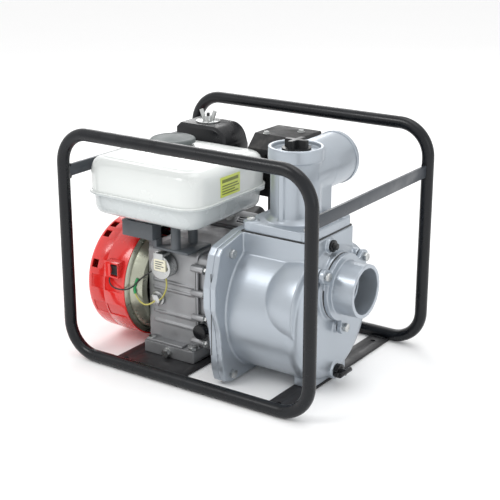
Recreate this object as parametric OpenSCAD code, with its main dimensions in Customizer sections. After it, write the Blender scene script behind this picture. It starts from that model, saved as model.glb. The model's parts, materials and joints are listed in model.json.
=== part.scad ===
// Engine-driven self-priming pump in a tube frame.
// X runs along the crankshaft towards the suction port, Y from the fuel tank side to the
// cylinder head side, Z up.  The origin is on the ground under the middle of the frame.

/* [Frame] */
// Overall length of the tube frame
frame_l = 510.3; // [500:0.1:530]
// Overall width over the two tube loops
frame_w = 397.3; // [395:0.1:420]
// Overall height of the tube frame
frame_h = 413.3; // [410:0.1:440]
// Outer diameter of the frame tube
tube_d = 21.3; // [19:0.1:22]
// Bend radius of the tube on its centre line
bend_r = 55; // [45:1:60]
// Thickness of the two floor plates
plate_t = 4; // [3:0.5:4.5]

/* [Engine] */
// Distance of the crank axis from the middle of the frame, towards the tank side
crank_y = -30; // [-31:0.5:-29]
// Height of the crank axis above the ground
crank_z = 111; // [110.5:0.5:112]
// Stroke of the engine
stroke = 45; // [43:0.5:45]
// Cylinder bore
bore = 68; // [68:0.5:70]
// Slope of the cylinder above the horizontal
cyl_tilt = 25; // [23:1:27]
// Radius of the red fan and starter covers
cover_r = 106; // [104:1:107]

/* [Fuel tank] */
// Length of the tank body
tank_l = 236; // [228:1:238]
// Width of the tank body
tank_w = 224; // [216:1:226]
// Height of the seam between the two halves
seam_z = 296; // [294:1:298]
// Radius of the tank's upright corners
tank_r = 38; // [30:1:42]

/* [Pump] */
// Outer radius of the casing barrel
barrel_r = 117; // [115:0.5:118]
// Height of the barrel's axis
barrel_z = 125; // [124:0.5:127]
// Height of the suction port's axis
suction_z = 174; // [173:0.5:175]
// Outer diameter of the suction pipe
suction_d = 89; // [86:0.5:90]
// Outer diameter of the discharge pipe
discharge_d = 88; // [86:0.5:90]
// Height of the discharge pipe's axis
discharge_z = 351; // [350:0.5:352]
// Impeller diameter
impeller_d = 124; // [118:1:126]

/* [Hidden] */
$fn = 64;
hull_fn = 32;
fit = 0.05;            // radial clearance of a running fit
gap = 0.4;             // clearance between covers that do not fit each other

tube_r = tube_d / 2;
loop_y = frame_w / 2 - tube_r;
loop_x = frame_l / 2 - tube_r;
loop_h = frame_h - tube_d;
crossbar_t = 6;
crossbar_h = 20.5;
crossbar_z = [322, 316];   // engine end, pump end

// floor plates
plate_z = 1;
floor_z = plate_z + plate_t;
engine_plate_x = [-167, -20];
pump_plate_x = [151, 187];
frame_hole_x = [-148, 168];
frame_hole_y = 156;
frame_hole_r = 4.5;

// engine block
block_x = [-142, -36];
block_y = [-95, 58];
block_z = [20, 200];
wall = 7;
foot_x = [-141.5, -34];
foot_y = [-113, 80];
foot_z = 27;
foot_bolt_x = [-131, -43];
foot_bolt_y = [-104, 71];
foot_bolt_r = 4;
side_cover_x = -6;     // outer face of the side cover
rib_z = [60, 78, 122, 136];
drain_bolt = [-90, 15];
level_plug = [-120, 104];
dipstick = [-22, 67];
alert_at = [-99, 170];     // centre of the oil alert unit
adapter_bolt_r = 48;       // bolt circle between engine and pump bracket
adapter_bolt_angles = [45:90:315];
cyl_x = -92;           // cylinder axis along the crank
liner_start = 60;
deck = 127;            // distance from the crank axis to the top of the block
head_h = 38;
crank_throw = stroke / 2;
rod_l = 84;
pin_r = 15;
wrist_r = 7.5;
journal_r = 12.5;
shaft_r = 10;
nose_r = 8;            // pump end of the shaft
fan_nose_r = 6;
bearing_r = 26;
bearing_w = 15;
bearing_x = [-143, -30];

// timing gears, 20 teeth on the crank and 40 on the camshaft
gear_module = 1.8;
crank_teeth = 20;
gear_x = -62;
gear_w = 8;
cam_dist = gear_module * crank_teeth * 1.5;
cam_angle = -38;
cam_journal_r = 7;
cam_y = crank_y + cam_dist * cos(cam_angle);
cam_z = crank_z + cam_dist * sin(cam_angle);
backlash_deg = 0.45;

// red covers
cover_z = crank_z + 4;
cover_back_x = -166;
cover_split_x = -212;
cover_front_x = -254;
cover_wall = 2.5;
flywheel_r = 76;
pulley_x = -228.5;
rope_r = 2;
pulley_rope_r = 45;
rope_z = crank_z + pulley_rope_r;
grip_y = 79;
grip_r = 8.5;
axle_r = 6;
edge_r = 12;               // rounded front edge of the starter cover
spiral_turns = 4;
switch_x = [-203, -173];
switch_z = 155;
switch_face_y = -142;
rocker_x = [-190, -174.5];

// carburettor and air cleaner
carb_x = [-178, -140];
carb_y = [76, 122];
carb_z = [150, 200];
intake_y = 98.5;
intake_z = 171;
elbow_x = -192;
elbow_r = 14;
elbow_bore_r = 11;
cleaner_x = [-205, -97];
cleaner_y = [72, 144];
cleaner_z = [296, 375];
cleaner_stud = [-160, 108];
stud_r = 3;
choke_pivot = [-160, 114];
throttle_pivot = [-130, 112];
control_z = 240;
fuel_pivot = [-158, 162];
lever_pin_r = 3;

// muffler
guard_x = [-47, 42];
guard_y = [71, 172];
guard_z = [262, 372];
exhaust_x = -6;

// tank
tank_x0 = -229;
tank_y0 = -160;
tank_top = 357;
tank_bottom = 256;
tank_wall = 3;
tank_cap = [-150, -10];
filler_r = 25;
lower_inset = 4;
post_x = -76;
post_y = [-102, -54];

// pump
flange_x = 34;         // back of the bracket's flange
casing_x = 48;         // joint between bracket and casing
flange_front_x = 58;
barrel_front_x = 198;
front_wall_x = 190;
block_top = 257.5;
top_block_x = [58, 188];
top_block_y = [-96, 36];
elbow_x0 = [54, 186];
elbow_plate_z = [259.5, 274.5];
elbow_bolt_x = [66, 174];
elbow_bolt_y = [crank_y - 54, crank_y + 54];
riser_y = 26;          // far face of the block under the discharge pipe
neck_x = 117;
neck_r = 42;
cup_z = 396;
discharge_y = 97;
port_face_x = 204;
port_flange_x = 206;
port_end_x = 252;
port_bore_r = 38;
flap_way_r = 44;       // bore behind the suction port, wide enough for the flap's shoulders
lug_r = 70;
lug_angles = [30, 150, 270];
flap_r = 38.5;
flap_t = 5.4;
flap_hinge = [201, 211];
flange_bolts = [[-98, 228], [98, 228], [-98, 18], [98, 18]];
drain_z = 24;
vent_pos = [-10, 243];
volute_r = 80;
eye_r = 26;
vane_sweep = 100;

// ---- shared shapes -------------------------------------------------------------------------

// box between two x, two y and two z limits
module box(x, y, z) translate([x[0], y[0], z[0]]) cube([x[1] - x[0], y[1] - y[0], z[1] - z[0]]);

// cylinders along each axis, from a to b, through a point of the other two axes
module cyl_x(a, b, r, y = crank_y, z = crank_z) translate([a, y, z]) rotate([0, 90, 0])
    cylinder(h = b - a, r = r);
module cyl_y(a, b, r, x, z) translate([x, a, z]) rotate([-90, 0, 0]) cylinder(h = b - a, r = r);
module cyl_z(a, b, r, x, y) translate([x, y, a]) cylinder(h = b - a, r = r);

// ring along X
module ring_x(a, b, ro, ri, y = crank_y, z = crank_z) difference() {
    cyl_x(a, b, ro, y, z);
    cyl_x(a - 1, b + 1, ri, y, z);
}

// box whose edges along X are rounded
module round_box_x(x, y, z, r) {
    box(x, [y[0] + r, y[1] - r], z);
    box(x, y, [z[0] + r, z[1] - r]);
    for (cy = [y[0] + r, y[1] - r], cz = [z[0] + r, z[1] - r]) cyl_x(x[0], x[1], r, cy, cz);
}

// box whose upright edges are rounded
module round_box_z(x, y, z, r) {
    box([x[0] + r, x[1] - r], y, z);
    box(x, [y[0] + r, y[1] - r], z);
    for (cx = [x[0] + r, x[1] - r], cy = [y[0] + r, y[1] - r]) cyl_z(z[0], z[1], r, cx, cy);
}

// local frame of the cylinder: +Z out along the bore, -Y up across it
module on_cylinder() translate([cyl_x, crank_y, crank_z]) rotate([cyl_tilt - 90, 0, 0]) children();

// involute gear outline
function inv_deg(a) = tan(a) * 180 / PI - a;
function half_tooth(n, rp, r) = 90 / n + inv_deg(20) - inv_deg(acos(min(1, rp * cos(20) / r))) - backlash_deg;
module gear(n, m, h) {
    rp = n * m / 2;
    rb = rp * cos(20);
    rf = rp - 1.25 * m;
    ra = rp + m;
    start = max(rb, rf);
    radii = [rf, for (k = [0:4]) start + (ra - start) * k / 4];
    side = [for (r = radii) [r, half_tooth(n, rp, max(r, start))]];
    linear_extrude(height = h) polygon([for (i = [0:n - 1])
        each concat([for (s = side) [s[0] * cos(i * 360 / n - s[1]), s[0] * sin(i * 360 / n - s[1])]],
            [for (k = [len(side) - 1:-1:0]) [side[k][0] * cos(i * 360 / n + side[k][1]),
                side[k][0] * sin(i * 360 / n + side[k][1])]])]);
}

// round tube swept along a list of points
function unit(v) = v / norm(v);
function path_dir(p, i) = unit(p[min(i + 1, len(p) - 1)] - p[max(i - 1, 0)]);
function path_side(p, i) = let (t = path_dir(p, i)) unit(cross(abs(t[2]) > 0.9 ? [0, 1, 0] : [0, 0, 1], t));
module swept_tube(p, r, sides = 8) {
    points = [for (i = [0:len(p) - 1]) let (u = path_side(p, i), v = cross(path_dir(p, i), u))
        for (k = [0:sides - 1]) p[i] + r * (cos(k * 360 / sides) * u + sin(k * 360 / sides) * v)];
    last = (len(p) - 1) * sides;
    faces = concat([[for (k = [0:sides - 1]) k]], [[for (k = [sides - 1:-1:0]) last + k]],
        [for (i = [0:len(p) - 2], k = [0:sides - 1]) let (a = i * sides + k, b = i * sides + (k + 1) % sides)
            [a, a + sides, b + sides, b]]);
    polyhedron(points = points, faces = faces, convexity = 4);
}

// ---- frame ---------------------------------------------------------------------------------

module tube_bend(cx, cz, y, turn) translate([cx, y, cz]) rotate([90, 0, 0]) rotate([0, 0, turn])
    rotate_extrude(angle = 90) translate([bend_r, 0]) circle(r = tube_r);

module frame_loop(y) {
    x = loop_x;
    z0 = tube_r;
    z1 = tube_r + loop_h;
    for (z = [z0, z1]) cyl_x(-x + bend_r, x - bend_r, tube_r, y, z);
    for (s = [-x, x]) cyl_z(z0 + bend_r, z1 - bend_r, tube_r, s, y);
    tube_bend(x - bend_r, z1 - bend_r, y, 0);
    tube_bend(-x + bend_r, z1 - bend_r, y, 90);
    tube_bend(-x + bend_r, z0 + bend_r, y, 180);
    tube_bend(x - bend_r, z0 + bend_r, y, 270);
}

module frame_loop_near() color([0.10, 0.11, 0.12]) frame_loop(-loop_y);
module frame_loop_far() color([0.10, 0.11, 0.12]) frame_loop(loop_y);

module crossbar(x, z) difference() {
    box([x - crossbar_t / 2, x + crossbar_t / 2], [-loop_y, loop_y], [z, z + crossbar_h]);
    for (y = [-loop_y, loop_y]) cyl_z(z - 1, z + crossbar_h + 1, tube_r, x, y);
}

module crossbars() color([0.36, 0.38, 0.40]) {
    crossbar(-loop_x, crossbar_z[0]);
    crossbar(loop_x, crossbar_z[1]);
}

module floor_plate(x, hole_x) difference() {
    box(x, [-loop_y, loop_y], [plate_z, floor_z]);
    for (y = [-loop_y, loop_y]) cyl_x(x[0] - 1, x[1] + 1, tube_r, y, tube_r);
    for (y = [-frame_hole_y, frame_hole_y]) cyl_z(0, floor_z + 1, frame_hole_r, hole_x, y);
}

module engine_base_plate() color([0.12, 0.12, 0.13]) difference() {
    floor_plate(engine_plate_x, frame_hole_x[0]);
    for (x = foot_bolt_x, y = foot_bolt_y) cyl_z(0, floor_z + 1, foot_bolt_r, x, y);
}

module pump_base_plate() color([0.12, 0.12, 0.13]) floor_plate(pump_plate_x, frame_hole_x[1]);

// ---- engine block --------------------------------------------------------------------------

module crankcase_body() difference() {
    union() {
        round_box_x(block_x, block_y, block_z, 12);
        cyl_x(block_x[0] - 12, block_x[0], 42);
        for (z = rib_z) box([block_x[0] + 12, block_x[1] - 4], [block_y[0] - 2.5, block_y[0]], [z, z + 4]);
    }
    box([block_x[0] + 13, block_x[1] + 1], [block_y[0] + wall, block_y[1] - wall],
        [block_z[0] + 12, block_z[1] - wall]);
    on_cylinder() cylinder(h = deck + 5, r = bore / 2 + 5);
}

module barrel_fins() on_cylinder() difference() {
    union() {
        translate([0, 0, liner_start]) cylinder(h = deck - liner_start, r = bore / 2 + 5);
        for (k = [0:3]) translate([-46, -46, 103 + k * 6.5]) cube([92, 92, 2.5]);
        translate([-40, -40, deck - 3]) cube([80, 80, 3]);
    }
    cylinder(h = deck + 1, r = bore / 2);
}

module crankcase() color([0.56, 0.57, 0.58]) difference() {
    union() {
        crankcase_body();
        barrel_fins();
        box(foot_x, foot_y, [floor_z, foot_z]);
    }
    cyl_x(bearing_x[0], block_x[0] + 14, bearing_r);
    cyl_x(block_x[0] - 20, block_x[0], journal_r + 1.5);
    cyl_x(block_x[0] + 5, block_x[0] + 14, cam_journal_r + fit, cam_y, cam_z);
    for (x = foot_bolt_x, y = foot_bolt_y) cyl_z(0, foot_z + 1, foot_bolt_r, x, y);
    cyl_y(foot_y[0] - 1, foot_y[0] + 14, 6, drain_bolt[0], drain_bolt[1]);
    cyl_y(block_y[0] - 5, block_y[0], 13.5, level_plug[0], level_plug[1]);
    cyl_y(block_y[0] - 5, block_y[0] + 10, 7, level_plug[0], level_plug[1]);
}

module side_cover() color([0.58, 0.59, 0.60]) difference() {
    union() {
        difference() {
            round_box_x([block_x[1], side_cover_x], block_y, [27, 196], 14);
            round_box_x([block_x[1] - 1, side_cover_x - 8], [block_y[0] + wall, block_y[1] - wall],
                [34, 189], 8);
        }
        cyl_x(bearing_x[1], side_cover_x - 4, 33);
        cyl_x(bearing_x[1] + 2, side_cover_x - 4, 12, cam_y, cam_z);
        cyl_y(block_y[0] - 4, block_y[0] + 8, 14, dipstick[0], dipstick[1]);
    }
    cyl_x(bearing_x[1] - 1, bearing_x[1] + bearing_w, bearing_r);
    cyl_x(bearing_x[1], side_cover_x + 1, 15);
    cyl_x(bearing_x[1] + 1, side_cover_x - 8, cam_journal_r + fit, cam_y, cam_z);
    cyl_y(block_y[0] - 5, block_y[0] + 10, 9, dipstick[0], dipstick[1]);
    for (a = adapter_bolt_angles) cyl_x(side_cover_x - 8.5, side_cover_x + 1, 4,
        crank_y + adapter_bolt_r * cos(a), crank_z + adapter_bolt_r * sin(a));
}

module main_bearings() color([0.75, 0.76, 0.78])
    for (x = bearing_x) ring_x(x, x + bearing_w, bearing_r, journal_r + fit);

module cylinder_head() color([0.60, 0.61, 0.62]) on_cylinder() difference() {
    translate([-46, -44, deck]) cube([92, 88, head_h]);
    translate([0, 0, deck - 1]) cylinder(h = 6, r = 30);
    for (k = [0:2]) translate([-47, 26, deck + 7 + k * 6]) cube([94, 20, 3.2]);
    for (k = [0:2]) translate([-47, -45, deck + 7 + k * 6]) cube([30, 14, 3.2]);
    for (k = [0:2]) translate([17, -45, deck + 7 + k * 6]) cube([30, 14, 3.2]);
    translate([-36, -33, deck + 26]) cube([72, 66, 20]);
    for (s = [-17, 17]) translate([s, 0, deck]) cylinder(h = 30, r = 3);
    for (s = [-1, 1]) translate([s * 17, 0, deck + 4]) cylinder(h = 12, r = 12);
    translate([-47, 0, deck + 15]) rotate([0, 90, 0]) cylinder(h = 30, r = 10.5);
    translate([17, 0, deck + 15]) rotate([0, 90, 0]) cylinder(h = 30, r = 10.5);
    plug_axis() translate([0, 0, 10]) cylinder(h = 60, r = 7);
}

// the spark plug leans 75 degrees from the bore, up and across the head
module plug_axis() translate([0, 0, deck + 2]) rotate([75, 0, 0]) children();

module rocker_cover() color([0.10, 0.10, 0.11]) on_cylinder() difference() {
    union() {
        translate([-42, -38, deck + head_h]) cube([84, 76, 4]);
        translate([0, 0, deck + head_h + 4]) round_box_z([-38, 38], [-34, 34], [0, 26], 10);
    }
    translate([0, 0, deck + head_h - 1]) round_box_z([-36, 36], [-32, 32], [0, 29], 8);
}

module valves() color([0.70, 0.71, 0.73]) on_cylinder() for (s = [-17, 17]) translate([s, 0, 0]) {
    translate([0, 0, deck + 1]) cylinder(h = 2.5, r = 11.5);
    translate([0, 0, deck + 3]) cylinder(h = 47, r = 2.75);
    translate([0, 0, deck + 44]) cylinder(h = 3, r = 10);
    translate([0, 0, deck + 27]) difference() {
        cylinder(h = 17, r = 10);
        translate([0, 0, -1]) cylinder(h = 19, r = 7.5);
    }
    translate([-5, -26, deck + 50.2]) cube([10, 32, 5]);
}

module pin_bosses() for (s = [-1, 1]) translate([s * 20 - 7.5, 0, rod_l + crank_throw])
    rotate([0, 90, 0]) cylinder(h = 15, r = 10);

module piston() color([0.78, 0.79, 0.80]) on_cylinder() difference() {
    union() {
        translate([0, 0, deck - 26]) cylinder(h = 25.5, r = bore / 2 - 0.1);
        pin_bosses();
    }
    difference() {
        translate([0, 0, deck - 40]) cylinder(h = 32, r = bore / 2 - 3);
        pin_bosses();
        for (s = [-1, 1]) translate([s * 20 - 7.5, -9, rod_l + crank_throw]) cube([15, 18, 20]);
    }
    translate([-40, 0, rod_l + crank_throw]) rotate([0, 90, 0]) cylinder(h = 80, r = wrist_r);
    for (k = [0:2]) translate([0, 0, deck - 5 - k * 4.5]) difference() {
        cylinder(h = 1.6, r = bore / 2);
        translate([0, 0, -1]) cylinder(h = 4, r = bore / 2 - 1.6);
    }
}

module spark_plug() color([0.80, 0.80, 0.78]) on_cylinder() plug_axis() {
    translate([0, 0, 17]) cylinder(h = 32.5, r = 6.95);
    translate([0, 0, 49.5]) cylinder(h = 6.5, r = 10.5, $fn = 6);
    translate([0, 0, 56]) cylinder(h = 14, r = 5);
}

module plug_cap() color([0.07, 0.07, 0.07]) on_cylinder() plug_axis() difference() {
    translate([0, 0, 57]) cylinder(h = 22, r = 9);
    translate([0, 0, 56]) cylinder(h = 14.2, r = 5.2);
}

module oil_plugs() color([0.78, 0.78, 0.74]) {
    cyl_y(foot_y[0], foot_y[0] + 13, 5.95, drain_bolt[0], drain_bolt[1]);
    cyl_y(foot_y[0] - 2, foot_y[0], 9, drain_bolt[0], drain_bolt[1]);
    translate([drain_bolt[0], foot_y[0] - 2, drain_bolt[1]]) rotate([90, 0, 0])
        cylinder(h = 7, r = 8, $fn = 6);
    cyl_y(block_y[0], block_y[0] + 9, 6.95, level_plug[0], level_plug[1]);
    cyl_y(block_y[0] - 5, block_y[0], 13, level_plug[0], level_plug[1]);
    translate([level_plug[0], block_y[0] - 5, level_plug[1]]) rotate([90, 0, 0])
        cylinder(h = 8, r = 10.5, $fn = 6);
}

module oil_dipstick() color([0.07, 0.07, 0.07]) {
    cyl_y(block_y[0] - 18, block_y[0] - 4.3, 13, dipstick[0], dipstick[1]);
    cyl_y(block_y[0] - 4.3, block_y[0] + 10, 9 - fit, dipstick[0], dipstick[1]);
    cyl_y(block_y[0] + 10, block_y[0] + 40, 2.5, dipstick[0], dipstick[1]);
}

module oil_alert_unit() color([0.72, 0.74, 0.74]) difference() {
    union() {
        cyl_y(block_y[0] - 22, block_y[0] - 2.5, 21, alert_at[0], alert_at[1]);
        box([alert_at[0] - 13, alert_at[0] + 7], [block_y[0] - 24, block_y[0] - 2.5],
            [alert_at[1] - 7, alert_at[1] + 25]);
        box([alert_at[0] - 7, alert_at[0] + 7], [block_y[0] - 6, block_y[0]],
            [alert_at[1] - 19, alert_at[1] - 5]);
    }
    cyl_y(block_y[0] - 25, block_y[0] - 18, 3, alert_at[0] + 13, alert_at[1]);
}

module tank_brackets() color([0.50, 0.51, 0.52]) {
    box([-118, -44], [-112, -44], [block_z[1], block_z[1] + 4]);
    for (y = post_y) cyl_z(block_z[1] + 4, tank_bottom, 8.5, post_x, y);
    box([-178, -112], [-120, -96], [216, 244]);
    box([-126, -112], [-112, -96], [block_z[1] + 4, 216]);
    box([-118, -110], [-112, -96], [block_z[1] + 4, 216]);
    for (x = [-168, -124]) cyl_z(244, tank_bottom, 7, x, -108);
}

module side_shroud() color([0.70, 0.69, 0.52]) difference() {
    translate([-169, crank_y, cover_z]) rotate([0, 90, 0]) cylinder(h = 26, r1 = 97, r2 = 84);
    translate([-169.01, crank_y, cover_z]) rotate([0, 90, 0]) cylinder(h = 24, r1 = 95, r2 = 82);
    cyl_x(-146, -140, 70, crank_y, cover_z);
    box([-180, -140], [-60, 0], [180, 214]);
    box([-180, -140], [56, 80], [90, 200]);
}

// ---- starter and fan -----------------------------------------------------------------------

module fan_housing() color([0.80, 0.09, 0.08]) difference() {
    cyl_x(cover_split_x, cover_back_x, cover_r, crank_y, cover_z);
    cyl_x(cover_split_x + cover_wall, cover_back_x + 1, cover_r - cover_wall, crank_y, cover_z);
    cyl_x(cover_split_x - 1, cover_split_x + 5, 84, crank_y, cover_z);
}

// outline of the starter cover: a drum with a rounded front edge
function edge_arc(r, x0, k) = [for (a = [0:15:90]) [r - k + k * cos(a), x0 + k - k * sin(a)]];
module starter_drum(r, front, k, back) translate([0, crank_y, cover_z]) rotate([0, 90, 0])
    rotate_extrude() polygon(concat([[0, back], [r, back]], edge_arc(r, front, k), [[0, front]]));

module recoil_cover() color([0.80, 0.09, 0.08]) difference() {
    union() {
        difference() {
            starter_drum(cover_r - 1, cover_front_x, edge_r, cover_split_x);
            starter_drum(cover_r - 1 - cover_wall, cover_front_x + cover_wall, edge_r - cover_wall,
                cover_split_x + 1);
        }
        cyl_x(cover_front_x + 1, -222, axle_r);
        cyl_x(cover_front_x + 1, -240, 14);
    }
    cyl_y(40, 80, rope_r + 2.5, pulley_x, rope_z);
    for (a = [100:20:260]) translate([0, crank_y, cover_z]) rotate([a, 0, 0])
        box([cover_front_x + 12, cover_front_x + 24], [80, 110], [-9, 9]);
    for (a = [0:45:315]) translate([0, crank_y, cover_z]) rotate([a, 0, 0])
        box([cover_front_x - 1, cover_front_x + 6], [34, 62], [-4, 4]);
}

module flywheel() color([0.40, 0.41, 0.43]) {
    difference() {
        union() {
            cyl_x(-192, -174, flywheel_r);
            for (a = [0:30:330]) translate([0, crank_y, crank_z]) rotate([a, 0, 0])
                box([-206, -191], [40, flywheel_r - 2], [-1.5, 1.5]);
        }
        ring_x(-186, -173, flywheel_r - 8, 24);
        cyl_x(-193, -173, shaft_r);
    }
}

module starter_cup() color([0.30, 0.31, 0.32]) difference() {
    cyl_x(-212, -192, 34);
    cyl_x(-213, -194, 31.5);
    cyl_x(-195, -191, fan_nose_r);
}

module recoil_pulley() color([0.85, 0.84, 0.78]) difference() {
    union() {
        for (x = [pulley_x - 4.5, pulley_x + 2.5]) cyl_x(x, x + 2, 50);
        cyl_x(pulley_x - 3, pulley_x + 3, pulley_rope_r - rope_r - 0.3);
        cyl_x(pulley_x + 4, pulley_x + 12, 20);
    }
    cyl_x(pulley_x - 6, pulley_x + 13, axle_r + fit);
    ring_x(pulley_x - 6, pulley_x - 1, 36, 12);
}

// flat spiral strip round the starter's axle, one end on the axle and one on the drum
module recoil_spring() color([0.45, 0.46, 0.50]) translate([-240 + gap, crank_y, crank_z]) rotate([0, 90, 0])
    linear_extrude(height = 4) polygon(concat(
        [for (a = [0:12:360 * spiral_turns]) let (r = 14.5 + a / 360 * 4) [r * cos(a), r * sin(a)]],
        [for (a = [360 * spiral_turns:-12:0]) let (r = 15.7 + a / 360 * 4) [r * cos(a), r * sin(a)]]));

module recoil_rope() color([0.15, 0.15, 0.15]) cyl_y(crank_y, grip_y - grip_r, rope_r, pulley_x, rope_z);

module recoil_grip() color([0.08, 0.08, 0.08]) {
    cyl_x(pulley_x - 16, pulley_x + 16, grip_r, grip_y, rope_z);
    for (s = [-16, 16]) translate([pulley_x + s, grip_y, rope_z]) sphere(r = grip_r);
}

module ignition_coil() color([0.12, 0.12, 0.13]) {
    box([-190, -174], [-52, -8], [crank_z + flywheel_r + 0.8, 204]);
    for (y = [-50, -18]) box([-174, block_x[0]], [y, y + 8], [190, 198]);
}

module switch_housing() color([0.78, 0.10, 0.08]) difference() {
    box(switch_x, [switch_face_y, -100], [switch_z - 14, switch_z + 14]);
    cyl_x(cover_split_x - 1, cover_back_x + 1, cover_r, crank_y, cover_z);
    box(rocker_x, [switch_face_y - 1, switch_face_y + 9], [switch_z - 11, switch_z + 11]);
}

module switch_rocker() color([0.05, 0.05, 0.05]) difference() {
    cyl_x(rocker_x[0] + 0.5, rocker_x[1] - 0.5, 10, switch_face_y + 7, switch_z);
    box([rocker_x[0] - 1, rocker_x[1] + 1], [switch_face_y + 6, switch_face_y + 20],
        [switch_z - 20, switch_z + 20]);
    cyl_x(rocker_x[0] - 1, rocker_x[1] + 1, 12, switch_face_y - 9, switch_z);
}

// ---- carburettor, air cleaner, exhaust -----------------------------------------------------

module carburetor() color([0.62, 0.62, 0.60]) {
    difference() {
        union() {
            cyl_x(-140, -138, 20, intake_y, intake_z);
            box(carb_x, [intake_y - 16, intake_y + 16], [carb_z[0], carb_z[1] - 6]);
            box([carb_x[0] + 6, carb_x[1] - 6], [intake_y - 12, carb_y[1]], [carb_z[0] + 4, carb_z[1]]);
        }
        cyl_x(carb_x[0] - 1, -137, 11, intake_y, intake_z);
        cyl_z(190, 201, lever_pin_r + fit, choke_pivot[0], choke_pivot[1]);
        cyl_y(carb_y[1] - 9, carb_y[1] + 1, lever_pin_r + fit, fuel_pivot[0], fuel_pivot[1]);
    }
    cyl_z(128, carb_z[0], 19, -160, intake_y);
    difference() {
        union() {
            box([-150, -112], [92, 150], [control_z, control_z + 3]);
            box([-150, -147], [92, 116], [carb_z[1], control_z]);
        }
        cyl_z(control_z - 1, control_z + 4, lever_pin_r + fit, throttle_pivot[0], throttle_pivot[1]);
    }
}

module choke_lever() color([0.08, 0.08, 0.08]) {
    cyl_z(191, 204, lever_pin_r, choke_pivot[0], choke_pivot[1]);
    box([choke_pivot[0] - 4.5, choke_pivot[0] + 4.5], [choke_pivot[1] - 5, 156], [204, 207]);
    cyl_z(204, 211, 7, choke_pivot[0], 156);
}

module fuel_lever() color([0.08, 0.08, 0.08]) {
    cyl_y(carb_y[1] - 8, carb_y[1] + 1, lever_pin_r, fuel_pivot[0], fuel_pivot[1]);
    cyl_y(carb_y[1] + 0.5, carb_y[1] + 4, 7, fuel_pivot[0], fuel_pivot[1]);
    box([fuel_pivot[0] - 30, fuel_pivot[0]], [carb_y[1] + 0.5, carb_y[1] + 4],
        [fuel_pivot[1] - 4, fuel_pivot[1] + 4]);
}

module throttle_lever() color([0.70, 0.70, 0.66]) {
    cyl_z(control_z - 3, control_z + 4, lever_pin_r, throttle_pivot[0], throttle_pivot[1]);
    box([throttle_pivot[0] - 5, throttle_pivot[0] + 5], [throttle_pivot[1] - 6, 158],
        [control_z + 3.2, control_z + 5.2]);
    cyl_z(control_z + 3.2, control_z + 14, 6, throttle_pivot[0], 158);
}

module air_cleaner_base() color([0.09, 0.09, 0.10]) {
    difference() {
        union() {
            cyl_x(elbow_x, carb_x[0], elbow_r, intake_y, intake_z);
            translate([elbow_x, intake_y, intake_z]) sphere(r = elbow_r);
            cyl_z(intake_z, cleaner_z[0], elbow_r, elbow_x, intake_y);
            round_box_z(cleaner_x, cleaner_y, [cleaner_z[0], cleaner_z[0] + 6], 12);
        }
        cyl_x(elbow_x, carb_x[0] + 1, elbow_bore_r, intake_y, intake_z);
        cyl_z(intake_z, cleaner_z[0] + 7, elbow_bore_r, elbow_x, intake_y);
        translate([elbow_x, intake_y, intake_z]) sphere(r = elbow_bore_r);
    }
    cyl_z(cleaner_z[0] + 6, cleaner_z[1] + 16, stud_r, cleaner_stud[0], cleaner_stud[1]);
}

// cover outline across the machine: the end towards the muffler is strongly rounded
module cleaner_form(inset, z0) hull() {
    y = [cleaner_y[0] + inset, cleaner_y[1] - inset];
    box([cleaner_x[0] + inset, cleaner_x[0] + 12], y, [z0, cleaner_z[1] - inset - 8]);
    box([cleaner_x[0] + inset + 6, cleaner_x[0] + 20], [y[0] + 5, y[1] - 5], [z0, cleaner_z[1] - inset]);
    translate([cleaner_x[1] - 32, y[0] + 5, cleaner_z[1] - 32]) rotate([-90, 0, 0])
        cylinder(h = y[1] - y[0] - 10, r = 32 - inset, $fn = hull_fn);
    translate([cleaner_x[1] - 32, y[0], cleaner_z[1] - 32]) rotate([-90, 0, 0])
        cylinder(h = y[1] - y[0], r = 27 - inset, $fn = hull_fn);
    box([cleaner_x[1] - 20, cleaner_x[1] - inset], y, [z0, cleaner_z[1] - 40]);
}

module air_cleaner_cover() color([0.13, 0.13, 0.14]) difference() {
    cleaner_form(0, cleaner_z[0] + 6);
    cleaner_form(2.5, cleaner_z[0] + 5);
    cyl_z(cleaner_z[1] - 10, cleaner_z[1] + 1, 3.6, cleaner_stud[0], cleaner_stud[1]);
}

module air_filter() color([0.85, 0.75, 0.45]) difference() {
    round_box_z([cleaner_x[0] + 8, cleaner_x[1] - 14], [cleaner_y[0] + 8, cleaner_y[1] - 8],
        [cleaner_z[0] + 6, 346], 10);
    round_box_z([cleaner_x[0] + 18, cleaner_x[1] - 24], [cleaner_y[0] + 18, cleaner_y[1] - 18],
        [cleaner_z[0] + 5, 338], 6);
    cyl_z(330, 350, 3.6, cleaner_stud[0], cleaner_stud[1]);
}

module air_cleaner_nut() color([0.80, 0.81, 0.80]) difference() {
    union() {
        cyl_z(cleaner_z[1] + 0.1, cleaner_z[1] + 2.5, 22, cleaner_stud[0], cleaner_stud[1]);
        cyl_z(cleaner_z[1] + 2.5, cleaner_z[1] + 11, 7, cleaner_stud[0], cleaner_stud[1]);
        for (s = [-1, 1]) translate([cleaner_stud[0] + s * 12, cleaner_stud[1], cleaner_z[1] + 13])
            rotate([0, s * 24, 0]) translate([-3.5, -1.5, -11]) cube([7, 3, 20]);
    }
    cyl_z(cleaner_z[1] - 1, cleaner_z[1] + 30, stud_r + fit, cleaner_stud[0], cleaner_stud[1]);
}

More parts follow.
